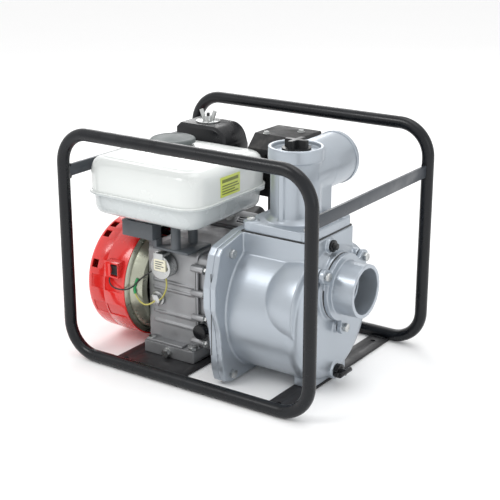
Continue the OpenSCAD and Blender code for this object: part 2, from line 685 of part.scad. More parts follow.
module muffler() color([0.20, 0.20, 0.21]) {
    difference() {
        round_box_x([guard_x[0] + 7, guard_x[1] - 7], [guard_y[0] + 8, guard_y[1] - 8],
            [guard_z[0], guard_z[1] - 9], 22);
        round_box_x([guard_x[0] + 9, guard_x[1] - 9], [guard_y[0] + 10, guard_y[1] - 10],
            [guard_z[0] + 2, guard_z[1] - 11], 20);
        cyl_z(guard_z[0] - 1, guard_z[0] + 4, 11, exhaust_x, intake_y);
    }
    difference() {
        union() {
            cyl_x(-45.9, exhaust_x, 14, intake_y, intake_z);
            translate([exhaust_x, intake_y, intake_z]) sphere(r = 14);
            cyl_z(intake_z, guard_z[0], 14, exhaust_x, intake_y);
            cyl_x(-45.9, -41, 22, intake_y, intake_z);
        }
        cyl_x(-47, exhaust_x, 11, intake_y, intake_z);
        translate([exhaust_x, intake_y, intake_z]) sphere(r = 11);
        cyl_z(intake_z, guard_z[0] + 1, 11, exhaust_x, intake_y);
    }
}

module guard_outline(inset) {
    y0 = guard_y[0] + inset;
    y1 = guard_y[1] - inset;
    z1 = guard_z[1] - inset;
    z0 = guard_z[0] + 4;
    polygon([[y0, z0], [y0, z1 - 22], [y0 + 22, z1], [y1 - 3, z1], [y1, z1 - 3], [y1, z0]]);
}

module guard_block(inset) translate([guard_x[0] + inset, 0, 0]) rotate([90, 0, 90])
    linear_extrude(height = guard_x[1] - guard_x[0] - 2 * inset) guard_outline(inset);

module muffler_guard() color([0.09, 0.09, 0.09]) difference() {
    guard_block(0);
    guard_block(1.5);
    box([guard_x[0] + 1.5, guard_x[1] - 1.5], [guard_y[0] + 1.5, guard_y[1] - 1.5],
        [guard_z[0], guard_z[0] + 6]);
    for (y = guard_y, k = [0:5], z = [282:14:338]) cyl_y(y - 3, y + 3, 3.2, guard_x[0] + 12 + k * 13, z);
    for (k = [0:5]) box([guard_x[0] - 1, guard_x[1] + 1], [90 + k * 12, 95 + k * 12], [285, 345]);
}

// ---- fuel tank -----------------------------------------------------------------------------

tank_x = [tank_x0, tank_x0 + tank_l];
tank_y = [tank_y0, tank_y0 + tank_w];

// seam flange; inner is how far its inside edge lies in from the tank's outer face
module tank_flange(z0, z1, inner) difference() {
    round_box_z([tank_x[0] - 4, tank_x[1] + 4], [tank_y[0] - 4, tank_y[1] + 4], [z0, z1], tank_r + 4);
    round_box_z([tank_x[0] + inner, tank_x[1] - inner], [tank_y[0] + inner, tank_y[1] - inner],
        [z0 - 1, z1 + 1], tank_r - inner);
}

// one half tank: upright walls that draw in towards a flat end
module half_tank(inset, z_open, z_bend, z_end) hull() {
    tank_section(inset, z_open);
    tank_section(inset, z_bend);
    tank_section(inset + 10, z_end);
}
module tank_section(inset, z)
    for (x = [tank_x[0] + tank_r, tank_x[1] - tank_r], y = [tank_y[0] + tank_r, tank_y[1] - tank_r])
        translate([x, y, z - 0.01]) cylinder(h = 0.01, r = tank_r - inset, $fn = hull_fn);

module fuel_tank_upper() color([0.93, 0.94, 0.90]) difference() {
    union() {
        half_tank(0, seam_z + 0.01, tank_top - 9, tank_top);
        tank_flange(seam_z, seam_z + 2.5, 1.5);
        cyl_z(tank_top - 6, tank_top + 4, filler_r + 4, tank_cap[0], tank_cap[1]);
    }
    half_tank(tank_wall, seam_z - 1, tank_top - 12, tank_top - tank_wall);
    cyl_z(tank_top - 20, tank_top + 6, filler_r, tank_cap[0], tank_cap[1]);
}

module lower_form(inset, z0, z1) round_box_z([tank_x[0] + inset, tank_x[1] - inset],
    [tank_y[0] + inset, tank_y[1] - inset], [z0, z1], tank_r - inset);

module fuel_tank_lower() color([0.93, 0.94, 0.90]) difference() {
    union() {
        lower_form(lower_inset, tank_bottom, seam_z);
        tank_flange(seam_z - 2.5, seam_z, lower_inset + 1);
    }
    lower_form(lower_inset + tank_wall, tank_bottom + tank_wall, seam_z + 1);
}

module fuel_cap() color([0.48, 0.50, 0.50]) {
    cyl_z(tank_top + 4.3, tank_top + 14, 39, tank_cap[0], tank_cap[1]);
    cyl_z(tank_top - 8, tank_top + 5, filler_r - fit, tank_cap[0], tank_cap[1]);
}

// ---- pump ----------------------------------------------------------------------------------

// bolted flange seen along X, as half widths from the crank plane
module flange_outline() translate([crank_y, 0])
    polygon([[-100, 4], [100, 4], [118, 10], [124, 30], [132, 102], [145, 143], [145, 180], [131, 232],
        [122, 243], [62, 257], [-62, 257], [-122, 243], [-131, 232], [-145, 180], [-145, 143],
        [-132, 102], [-124, 30], [-118, 10]]);

module flange_plate(x0, x1) translate([x0, 0, 0]) rotate([90, 0, 90])
    linear_extrude(height = x1 - x0) flange_outline();

module flange_bolt_holes(r) for (p = flange_bolts)
    cyl_x(flange_x - 20, flange_front_x + 20, r, crank_y + p[0], p[1]);

module pump_bracket() color([0.66, 0.68, 0.69]) difference() {
    union() {
        cyl_x(side_cover_x, 2, 62);
        ring_x(2, flange_x, 62, 55);
        flange_plate(flange_x, casing_x);
    }
    cyl_x(side_cover_x - 1, 3, 15);
    cyl_x(flange_x - 1, casing_x + 1, 20);
    flange_bolt_holes(4.1);
    for (a = adapter_bolt_angles)
        cyl_x(side_cover_x - 1, 3, 4, crank_y + adapter_bolt_r * cos(a), crank_z + adapter_bolt_r * sin(a));
    box([8, 28], [crank_y - 70, crank_y + 70], [crank_z - 22, crank_z + 22]);
}

module seal_seat() color([0.30, 0.30, 0.32]) ring_x(37, casing_x + 3, 20, 10 + fit);

module volute() color([0.50, 0.52, 0.53]) difference() {
    union() {
        cyl_x(casing_x, 106, volute_r);
        box([casing_x, 106], [crank_y - volute_r, crank_y - 40], [crank_z, crank_z + 78]);
    }
    cyl_x(casing_x - 1, 92, 68);
    cyl_x(90, 107, eye_r);
    box([casing_x + 8, 92], [crank_y - volute_r + 7, crank_y - 47], [crank_z, crank_z + 80]);
}

module barrel_profile(r, front, k, back) translate([0, crank_y, barrel_z]) rotate([0, 90, 0])
    rotate_extrude() polygon(concat([[0, back], [r, back]],
        [for (a = [0:15:90]) [r - k + k * cos(a), front - k + k * sin(a)]], [[0, front]]));

module pump_casing() color([0.74, 0.78, 0.82]) difference() {
    union() {
        flange_plate(casing_x, flange_front_x);
        barrel_profile(barrel_r, barrel_front_x, 24, casing_x + 1);
        round_box_x(top_block_x, top_block_y, [barrel_z, block_top], 0.5);
        cyl_x(180, port_face_x, 57, crank_y, suction_z);
        for (a = lug_angles) cyl_x(182, port_face_x, 12, crank_y + lug_r * cos(a), suction_z + lug_r * sin(a));
        box([152, 186], [crank_y - 55, crank_y + 55], [floor_z, 30]);
        cyl_x(170, 201, 15, crank_y, drain_z);
        cyl_x(180, 193, 12, crank_y + vent_pos[0], vent_pos[1]);
    }
    barrel_profile(barrel_r - 7, front_wall_x, 18, casing_x - 1);
    box([64, 182], [top_block_y[0] + 6, top_block_y[1] - 6], [barrel_z, 243]);
    cyl_z(240, block_top + 1, 40, neck_x, crank_y);
    cyl_x(front_wall_x - 10, port_face_x + 1, flap_way_r, crank_y, suction_z);
    cyl_x(160, 202, 8, crank_y, drain_z);
    cyl_x(180, 194, 6, crank_y + vent_pos[0], vent_pos[1]);
    flange_bolt_holes(4.1);
    for (a = lug_angles) cyl_x(191, port_face_x + 1, 4, crank_y + lug_r * cos(a), suction_z + lug_r * sin(a));
    for (x = elbow_bolt_x, y = elbow_bolt_y) cyl_z(245.5, block_top + 1, 4, x, y);
}

module gaskets() color([0.10, 0.10, 0.10]) {
    difference() {
        box(elbow_x0, top_block_y, [block_top, elbow_plate_z[0]]);
        cyl_z(block_top - 1, elbow_plate_z[0] + 1, 40, neck_x, crank_y);
        for (x = elbow_bolt_x, y = elbow_bolt_y) cyl_z(block_top - 1, elbow_plate_z[0] + 1, 4.2, x, y);
    }
    ring_x(port_face_x, port_flange_x, 56, flap_way_r, crank_y, suction_z);
}

module discharge_elbow() color([0.76, 0.80, 0.84]) difference() {
    union() {
        round_box_z(elbow_x0, top_block_y, elbow_plate_z, 12);
        cyl_z(elbow_plate_z[1], 376, neck_r, neck_x, crank_y);
        translate([neck_x, crank_y, elbow_plate_z[1]]) cylinder(h = 8, r1 = neck_r + 8, r2 = neck_r);
        cyl_z(374, cup_z, neck_r + 4, neck_x, crank_y);
        cyl_y(crank_y, riser_y, discharge_d / 2 - 0.5, neck_x, discharge_z);
        cyl_y(riser_y, discharge_y, discharge_d / 2, neck_x, discharge_z);
        box([neck_x - 34, neck_x + 35], [crank_y, riser_y], [elbow_plate_z[1], discharge_z - 10]);
        box([neck_x - 5, neck_x + 5], [crank_y - neck_r - 4, crank_y], [elbow_plate_z[1], 374]);
    }
    cyl_z(elbow_plate_z[0] - 1, 374, 36, neck_x, crank_y);
    cyl_y(crank_y, discharge_y + 1, 37, neck_x, discharge_z);
    cyl_z(388, cup_z + 1, 39.5, neck_x, crank_y);
    cyl_z(370, 390, 17, neck_x, crank_y);
    for (x = elbow_bolt_x, y = elbow_bolt_y) cyl_z(elbow_plate_z[0] - 1, elbow_plate_z[1] + 1, 4.2, x, y);
}

module suction_port() color([0.76, 0.80, 0.84]) difference() {
    union() {
        cyl_x(port_flange_x, 214, 56, crank_y, suction_z);
        cyl_x(214, port_end_x, suction_d / 2, crank_y, suction_z);
        for (a = lug_angles) {
            cyl_x(port_flange_x, 214, 12, crank_y + lug_r * cos(a), suction_z + lug_r * sin(a));
            translate([0, crank_y, suction_z]) rotate([a, 0, 0])
                box([port_flange_x, 214], [46, lug_r], [-10, 10]);
        }
    }
    cyl_x(port_flange_x - 1, port_end_x + 1, port_bore_r - 2, crank_y, suction_z);
    cyl_x(216, port_end_x + 1, port_bore_r, crank_y, suction_z);
    for (a = lug_angles)
        cyl_x(port_flange_x - 1, 215, 4.2, crank_y + lug_r * cos(a), suction_z + lug_r * sin(a));
}

module check_flap() color([0.10, 0.10, 0.10]) {
    intersection() {
        cyl_x(flap_hinge[0] - flap_t / 2, flap_hinge[0] + flap_t / 2, flap_r, crank_y, suction_z);
        box([190, 210], [crank_y - 60, crank_y + 60], [100, flap_hinge[1]]);
    }
    cyl_y(crank_y - 9, crank_y + 9, flap_t / 2, flap_hinge[0], flap_hinge[1]);
}

module impeller() color([0.45, 0.46, 0.47]) difference() {
    union() {
        cyl_x(54, 58, impeller_d / 2);
        cyl_x(54, 80, 15);
        for (k = [0:3]) translate([57, crank_y, crank_z]) rotate([0, 90, 0]) rotate([0, 0, k * 90])
            linear_extrude(height = 27) polygon(vane_points());
    }
    cyl_x(53, 81, nose_r);
}

// one vane: a spiral strip from the hub to the rim
function vane_r(t) = 13 + (impeller_d / 2 - 14) * t;
function vane_back(t) = t * vane_sweep + 9 - 4 * t;
function vane_points() = concat(
    [for (t = [0:0.1:1.001]) vane_r(t) * [cos(t * vane_sweep), sin(t * vane_sweep)]],
    [for (t = [1:-0.1:-0.001]) (vane_r(t) - 1) * [cos(vane_back(t)), sin(vane_back(t))]]);

module t_handle_plug(head_r, stem_r, stem_l, head_h) {
    cylinder(h = head_h, r = head_r);
    translate([0, 0, -stem_l]) cylinder(h = stem_l, r = stem_r - fit);
}

module priming_plug() color([0.06, 0.06, 0.07]) translate([neck_x, crank_y, 388.3]) {
    t_handle_plug(24, 17, 14, 5);
    translate([-20, -4.5, 5]) cube([40, 9, 13]);
    translate([-4.5, -20, 5]) cube([9, 40, 13]);
}

module drain_plug() color([0.06, 0.06, 0.07]) translate([201.3, crank_y, drain_z]) rotate([0, 90, 0]) {
    t_handle_plug(12, 8, 24, 8);
    translate([0, 0, 8]) cylinder(h = 10, r = 5);
    translate([0, -17, 16]) rotate([-90, 0, 0]) cylinder(h = 34, r = 4);
}

module vent_plug() color([0.06, 0.06, 0.07])
    translate([193.3, crank_y + vent_pos[0], vent_pos[1]]) rotate([0, 90, 0]) {
    t_handle_plug(10, 6, 9, 4);
    translate([0, 0, 4]) cylinder(h = 6, r = 6, $fn = 6);
}

// ---- crank train ---------------------------------------------------------------------------

module on_crank() translate([0, crank_y, crank_z]) rotate([cyl_tilt - 90, 0, 0]) children();

module crank_web(x0, x1) on_crank() {
    intersection() {
        rotate([0, 90, 0]) translate([0, 0, x0]) cylinder(h = x1 - x0, r = 38);
        translate([x0, -40, -40]) cube([x1 - x0, 80, 38]);
    }
    translate([x0, -17, -4]) cube([x1 - x0, 34, crank_throw + 4]);
    translate([x0, 0, crank_throw]) rotate([0, 90, 0]) cylinder(h = x1 - x0, r = 17);
}

module crankshaft() color([0.55, 0.56, 0.58]) {
    cyl_x(-150, -116, journal_r);
    cyl_x(-192, -149, shaft_r);
    cyl_x(-202, -191, fan_nose_r);
    crank_web(-118, -106);
    crank_web(-78, -66);
    on_crank() translate([-107, 0, crank_throw]) rotate([0, 90, 0]) cylinder(h = 30, r = pin_r);
    cyl_x(-67, -12, journal_r);
    cyl_x(-13, 54, shaft_r);
    cyl_x(53, 84, nose_r);
    translate([gear_x, crank_y, crank_z]) rotate([0, 90, 0]) rotate([0, 0, 90 + cam_angle])
        gear(crank_teeth, gear_module, gear_w);
}

module camshaft() color([0.50, 0.50, 0.52]) {
    cyl_x(-136, -16, cam_journal_r, cam_y, cam_z);
    for (lobe = [[-116, 100], [-76, -10]]) {
        cyl_x(lobe[0], lobe[0] + 8, 9, cam_y, cam_z);
        cyl_x(lobe[0], lobe[0] + 8, 6, cam_y + 5 * cos(lobe[1]), cam_z + 5 * sin(lobe[1]));
    }
    translate([gear_x, cam_y, cam_z]) rotate([0, 90, 0]) rotate([0, 0, 270 + cam_angle + 90 / crank_teeth])
        gear(2 * crank_teeth, gear_module, gear_w);
}

module connecting_rod() color([0.72, 0.73, 0.74]) on_cylinder() {
    difference() {
        union() {
            translate([-11, 0, crank_throw]) rotate([0, 90, 0]) cylinder(h = 22, r = 21);
            translate([-5, -7, crank_throw]) cube([10, 14, rod_l]);
            translate([-8, 0, crank_throw + rod_l]) rotate([0, 90, 0]) cylinder(h = 16, r = 10);
        }
        translate([-12, 0, crank_throw]) rotate([0, 90, 0]) cylinder(h = 24, r = pin_r + fit);
        translate([-11, 0, crank_throw + rod_l]) rotate([0, 90, 0]) cylinder(h = 22, r = wrist_r);
    }
    translate([-8, 0, crank_throw + rod_l]) rotate([0, 90, 0]) cylinder(h = 16, r = wrist_r - fit);
}

// ---- fasteners and leads -------------------------------------------------------------------

module hex_bolt(head_af, head_h, shank_r, shank_l) {
    cylinder(h = head_h, r = head_af / 2 / cos(30), $fn = 6);
    translate([0, 0, -shank_l]) cylinder(h = shank_l, r = shank_r);
}

module bolts() color([0.78, 0.79, 0.78]) {
    for (x = foot_bolt_x, y = foot_bolt_y) translate([x, y, foot_z]) hex_bolt(13, 6, 3.95, foot_z - 1.2);
    for (a = adapter_bolt_angles)
        translate([2, crank_y + adapter_bolt_r * cos(a), crank_z + adapter_bolt_r * sin(a)]) rotate([0, 90, 0])
            hex_bolt(12, 5.5, 3.95, 15);
    for (p = flange_bolts) {
        translate([flange_front_x, crank_y + p[0], p[1]]) rotate([0, 90, 0]) hex_bolt(14, 6, 3.95, 30);
        translate([flange_x - 7, crank_y + p[0], p[1]]) rotate([0, 90, 0]) cylinder(h = 7, r = 8, $fn = 6);
    }
    for (x = elbow_bolt_x, y = elbow_bolt_y) translate([x, y, elbow_plate_z[1]]) hex_bolt(13, 6, 3.95, 28);
    for (a = lug_angles)
        translate([214, crank_y + lug_r * cos(a), suction_z + lug_r * sin(a)]) rotate([0, 90, 0])
            hex_bolt(13, 6, 3.95, 22);
}

sensor_route = [[level_plug[0], -109.6, level_plug[1] - 2], [-126, -113, 97], [-134, -117, 95],
    [-141, -120, 99], [-147, -122, 106], [-151, -123, 114]];
switch_route = [[-196, -136, switch_z - 15.7], [-195, -139, 132], [-189, -141, 126], [-180, -141, 123],
    [-170, -139, 122], [-160, -134, 123], [-152, -127, 128], [-146, -121, 136], [-138, -115, 145],
    [-130, -110, 152], [-123, -108, 158]];
plug_route = [[-170, -12, 202], [-160, -6, 207], [-146, 4, 212], [-130, 20, 215], [-114, 38, 221],
    [-104, 49, 232], [-97, 56, 244], [-93, 63, 249.5], [-92, 70, 250]];

module leads() color([0.55, 0.53, 0.15]) {
    swept_tube(sensor_route, 1.5);
    swept_tube(switch_route, 1.5);
    swept_tube(plug_route, 3.2);
}

// ---- assembly ------------------------------------------------------------------------------

frame_loop_near();
frame_loop_far();
crossbars();
engine_base_plate();
pump_base_plate();
crankcase();
side_cover();
main_bearings();
cylinder_head();
rocker_cover();
valves();
piston();
spark_plug();
plug_cap();
fan_housing();
recoil_cover();
ignition_coil();
switch_housing();
carburetor();
air_cleaner_base();
air_cleaner_cover();
air_filter();
muffler();
muffler_guard();
fuel_tank_upper();
fuel_tank_lower();
tank_brackets();
oil_plugs();
oil_alert_unit();
side_shroud();
leads();
pump_bracket();
seal_seat();
volute();
pump_casing();
gaskets();
discharge_elbow();
suction_port();
bolts();
recoil_spring();
crankshaft();
flywheel();
starter_cup();
impeller();
connecting_rod();
camshaft();
recoil_pulley();
recoil_rope();
recoil_grip();
switch_rocker();
choke_lever();
fuel_lever();
throttle_lever();
air_cleaner_nut();
fuel_cap();
oil_dipstick();
priming_plug();
drain_plug();
vent_plug();
check_flap();
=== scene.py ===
"""Looks of the engine pump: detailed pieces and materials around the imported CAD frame.

Lengths in this file are millimetres, turned into metres where a mesh is made.  Main places come from
the CAD nodes' boxes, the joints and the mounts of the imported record.  The shell of the tank, the barrel
and its bulge, bolt places, labels and the leads' routes are typed in here.
"""
import json
import math

import bmesh
import bpy
import numpy as np
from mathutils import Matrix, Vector


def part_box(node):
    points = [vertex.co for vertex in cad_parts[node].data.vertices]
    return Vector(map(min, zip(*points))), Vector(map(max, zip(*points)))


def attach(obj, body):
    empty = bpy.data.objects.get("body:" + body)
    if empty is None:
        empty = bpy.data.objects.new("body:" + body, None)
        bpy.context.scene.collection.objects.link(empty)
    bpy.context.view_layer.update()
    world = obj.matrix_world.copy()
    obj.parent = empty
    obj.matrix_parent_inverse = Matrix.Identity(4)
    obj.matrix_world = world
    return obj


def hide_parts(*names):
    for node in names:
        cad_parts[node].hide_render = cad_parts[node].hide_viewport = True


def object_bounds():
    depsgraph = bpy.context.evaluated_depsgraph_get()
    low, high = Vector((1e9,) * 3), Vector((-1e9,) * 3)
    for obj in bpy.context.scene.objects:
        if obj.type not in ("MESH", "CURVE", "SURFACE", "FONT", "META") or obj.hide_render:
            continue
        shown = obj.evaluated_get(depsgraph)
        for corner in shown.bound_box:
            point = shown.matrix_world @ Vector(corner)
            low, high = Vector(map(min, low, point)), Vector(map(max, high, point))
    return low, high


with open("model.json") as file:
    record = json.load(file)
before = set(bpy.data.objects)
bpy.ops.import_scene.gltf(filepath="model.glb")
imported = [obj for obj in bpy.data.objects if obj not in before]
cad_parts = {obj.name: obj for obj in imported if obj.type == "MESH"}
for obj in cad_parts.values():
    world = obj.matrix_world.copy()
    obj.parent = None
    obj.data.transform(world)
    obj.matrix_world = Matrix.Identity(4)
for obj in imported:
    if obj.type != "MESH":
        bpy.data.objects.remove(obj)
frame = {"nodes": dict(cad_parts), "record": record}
cad_box = [list(corner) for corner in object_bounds()]
MM = 0.001
SCENE = bpy.context.scene


# ---- places taken from the CAD ---------------------------------------------------------------

def ext(node):
    """((x0, x1), (y0, y1), (z0, z1)) of a CAD node in millimetres."""
    low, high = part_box(node)
    return tuple((low[i] / MM, high[i] / MM) for i in range(3))


def joint_at(name):
    """A joint's point in millimetres."""
    joint = next(j for j in frame["record"]["behaviour"]["joints"] if j["name"] == name)
    return [c / MM for c in joint["pos_m"]]


def mount_at(name):
    """A mount's point in millimetres."""
    mount = next(m for m in frame["record"]["mounts"] if m["name"] == name)
    return [c / MM for c in mount["pos_m"]]


crank_y, crank_z = joint_at("crank_spin")[1:]
suction_y = mount_at("suction_pipe")[1]
outlet_x, outlet_z = mount_at("discharge_pipe")[::2]


# ---- mesh tools ------------------------------------------------------------------------------

def object_from(bm, name):
    """An object from a bmesh that is in millimetres."""
    bmesh.ops.recalc_face_normals(bm, faces=bm.faces[:])
    bmesh.ops.scale(bm, vec=(MM, MM, MM), verts=bm.verts[:])
    mesh = bpy.data.meshes.new(name)
    bm.to_mesh(mesh)
    bm.free()
    obj = bpy.data.objects.new(name, mesh)
    SCENE.collection.objects.link(obj)
    return obj


def mesh_of(points, faces):
    bm = bmesh.new()
    verts = [bm.verts.new(p) for p in points]
    for face in faces:
        bm.faces.new([verts[i] for i in face])
    return bm


def round_edges(bm, amount, segments=3, edges=None, sharper_than=25):
    """Bevels the given edges, or all edges sharper than an angle."""
    if amount <= 0:
        return
    bmesh.ops.recalc_face_normals(bm, faces=bm.faces[:])
    if edges is None:
        edges = [e for e in bm.edges if len(e.link_faces) == 2
                 and e.calc_face_angle(0) > math.radians(sharper_than)]
    bmesh.ops.bevel(bm, geom=edges, offset=amount, segments=segments, profile=0.5,
                    affect='EDGES', clamp_overlap=True)


def box(x, y, z, bevel=0, name="box", segments=3):
    corners = [(a, b, c) for a in x for b in y for c in z]
    faces = [(0, 1, 3, 2), (4, 6, 7, 5), (0, 4, 5, 1), (2, 3, 7, 6), (0, 2, 6, 4), (1, 5, 7, 3)]
    bm = mesh_of(corners, faces)
    round_edges(bm, bevel, segments)
    return object_from(bm, name)


def on_axis(axis, t, u, v):
    """Point with t along the axis and u, v along the other two, in X, Y, Z order."""
    return {"x": (t, u, v), "y": (u, t, v), "z": (u, v, t)}[axis]


def lathe(axis, u, v, profile, name="lathe", sides=64):
    """Revolves (radius, place) points about an axis; a profile that starts off the axis is a closed ring."""
    ring = profile[0][0] > 0 or profile[-1][0] > 0
    bm = bmesh.new()
    rows = []
    for radius, t in profile:
        if radius == 0:
            rows.append([bm.verts.new(on_axis(axis, t, u, v))])
            continue
        rows.append([bm.verts.new(on_axis(axis, t, u + radius * math.cos(2 * math.pi * k / sides),
                                          v + radius * math.sin(2 * math.pi * k / sides)))
                     for k in range(sides)])
    pairs = list(zip(rows, rows[1:])) + ([(rows[-1], rows[0])] if ring else [])
    for low, high in pairs:
        for k in range(sides):
            n = (k + 1) % sides
            if len(low) == 1:
                bm.faces.new((low[0], high[n], high[k]))
            elif len(high) == 1:
                bm.faces.new((low[k], low[n], high[0]))
            else:
                bm.faces.new((low[k], low[n], high[n], high[k]))
    return object_from(bm, name)


def rod(axis, a, b, r, u, v, edge=0.0, r2=None, name="rod", sides=48):
    """Cylinder or cone between two places, with a small chamfered and rounded edge."""
    r2 = r if r2 is None else r2
    e = min(edge, r * 0.9, r2 * 0.9, (b - a) * 0.45)
    if e <= 0:
        return lathe(axis, u, v, [(0, a), (r, a), (r2, b), (0, b)], name, sides)
    s = 0.3 * e
    return lathe(axis, u, v, [(0, a), (r - e, a), (r - s, a + s), (r, a + e), (r2, b - e),
                              (r2 - s, b - s), (r2 - e, b), (0, b)], name, sides)


def pipe(axis, a, b, ro, ri, u, v, edge=1.0, name="pipe", sides=72):
    e = min(edge, (ro - ri) * 0.4)
    return lathe(axis, u, v, [(ri, a + e), (ri + e, a), (ro - e, a), (ro, a + e), (ro, b - e),
                              (ro - e, b), (ri + e, b), (ri, b - e)], name, sides)


def prism(axis, outline, a, b, bevel=0, name="prism", segments=3, sharper_than=25):
    """Outline in the other two axes, pushed along an axis from a to b."""
    n = len(outline)
    points = [on_axis(axis, t, *p) for t in (a, b) for p in outline]
    faces = [tuple(range(n)), tuple(range(n, 2 * n))]
    faces += [(k, (k + 1) % n, n + (k + 1) % n, n + k) for k in range(n)]
    bm = mesh_of(points, faces)
    round_edges(bm, bevel, segments, sharper_than=sharper_than)
    return object_from(bm, name)


def corner_arc(cx, cy, r, start, steps=6):
    return [(cx + r * math.cos(math.radians(start + 90 * k / steps)),
             cy + r * math.sin(math.radians(start + 90 * k / steps))) for k in range(steps + 1)]


def rounded_rect(x, y, r, steps=6):
    return (corner_arc(x[1] - r, y[1] - r, r, 0, steps) + corner_arc(x[0] + r, y[1] - r, r, 90, steps)
            + corner_arc(x[0] + r, y[0] + r, r, 180, steps) + corner_arc(x[1] - r, y[0] + r, r, 270, steps))


def smooth_path(points, per=6):
    """Catmull-Rom points through the given ones."""
    p = [np.array(q, float) for q in points]
    p = [2 * p[0] - p[1]] + p + [2 * p[-1] - p[-2]]
    out = []
    for k in range(1, len(p) - 2):
        for t in np.linspace(0, 1, per, endpoint=False):
            out.append(0.5 * (2 * p[k] + (p[k + 1] - p[k - 1]) * t
                              + (2 * p[k - 1] - 5 * p[k] + 4 * p[k + 1] - p[k + 2]) * t ** 2
                              + (3 * p[k] - 3 * p[k + 1] + p[k + 2] - p[k - 1]) * t ** 3))
    return out + [p[-2]]


def sweep(points, r, name="tube", sides=16, closed=False):
    """Round tube along points; r is a number or one radius per point."""
    p = [np.array(q, float) for q in points]
    n = len(p)
    radii = [r] * n if np.isscalar(r) else list(r)
    tangents = []
    for k in range(n):
        ahead = p[(k + 1) % n] if closed or k < n - 1 else p[k]
        behind = p[(k - 1) % n] if closed or k > 0 else p[k]
        tangents.append((ahead - behind) / np.linalg.norm(ahead - behind))
    side = np.cross(tangents[0], [0.3, 0.2, 1.0])
    side /= np.linalg.norm(side)
    bm = bmesh.new()
    rings = []
    for k in range(n):
        side = side - tangents[k] * np.dot(side, tangents[k])
        side /= np.linalg.norm(side)
        other = np.cross(tangents[k], side)
        rings.append([bm.verts.new(p[k] + radii[k] * (math.cos(a) * side + math.sin(a) * other))
                      for a in np.linspace(0, 2 * math.pi, sides, endpoint=False)])
    for k in range(n if closed else n - 1):
        low, high = rings[k], rings[(k + 1) % n]
        for s in range(sides):
            bm.faces.new((low[s], low[(s + 1) % sides], high[(s + 1) % sides], high[s]))
    if not closed:
        bm.faces.new(rings[0])
        bm.faces.new(rings[-1])
    return object_from(bm, name)


def joined(parts, name):
    """One object from several; the others are removed."""
    bm = bmesh.new()
    for part in parts:
        part.data.transform(part.matrix_world)
        bm.from_mesh(part.data)
        bpy.data.objects.remove(part)
    mesh = bpy.data.meshes.new(name)
    bm.to_mesh(mesh)
    bm.free()
    obj = bpy.data.objects.new(name, mesh)
    SCENE.collection.objects.link(obj)
    return obj


def bake_modifiers(obj):
    bpy.context.view_layer.update()
    mesh = bpy.data.meshes.new_from_object(obj.evaluated_get(bpy.context.evaluated_depsgraph_get()))
    obj.modifiers.clear()
    obj.data = mesh
    return obj


def boolean(obj, other, operation="DIFFERENCE"):
    mod = obj.modifiers.new("cut", 'BOOLEAN')
    mod.operation = operation
    mod.solver = 'MANIFOLD'
    mod.object = other
    bake_modifiers(obj)
    bpy.data.objects.remove(other)
    return obj


def carve(obj, cutters):
    for cutter in cutters:
        boolean(obj, cutter)
    return obj


def fused(parts, cuts=()):
    body = parts[0]
    for part in parts[1:]:
        boolean(body, part, "UNION")
    return carve(body, cuts)


def cast(parts, cuts=(), voxel=1.6, smooth=3, keep=0.4, late_cuts=()):
    """A casting: the parts fused, cut, and every inside and outside corner blended."""
    body = fused(list(parts), cuts)
    remesh = body.modifiers.new("remesh", 'REMESH')
    remesh.mode = 'VOXEL'
    remesh.voxel_size = voxel * MM
    soften = body.modifiers.new("soften", 'SMOOTH')
    soften.factor = 0.5
    soften.iterations = smooth
    thin = body.modifiers.new("thin", 'DECIMATE')
    thin.ratio = keep
    bake_modifiers(body)
    return carve(body, late_cuts)


def hex_head(axis, base, height, across, u, v, sign=1, washer=0.0, name="bolt"):
    """Hexagon head with a chamfered top, over a washer, standing on a face at base."""
    parts = []
    if washer:
        parts.append(rod(axis, min(base, base + sign * washer), max(base, base + sign * washer),
                         across * 0.78, u, v, 0.5, sides=32))
        base += sign * washer
    r = across / 2 / math.cos(math.pi / 6)
    head = lathe(axis, u, v, [(0, base), (r * 0.97, base), (r, base + sign * 0.4),
                              (r, base + sign * (height - 1.2)), (r * 0.88, base + sign * height),
                              (0, base + sign * height)], sides=6)
    dome = lathe(axis, u, v, [(0, base + sign * (height - 0.2)), (r * 0.55, base + sign * (height - 0.2)),
                              (r * 0.5, base + sign * (height + 0.5)),
                              (0, base + sign * (height + 0.6))], sides=24)
    return joined(parts + [head, dome], name)


# ---- materials -------------------------------------------------------------------------------

MATERIALS = {}


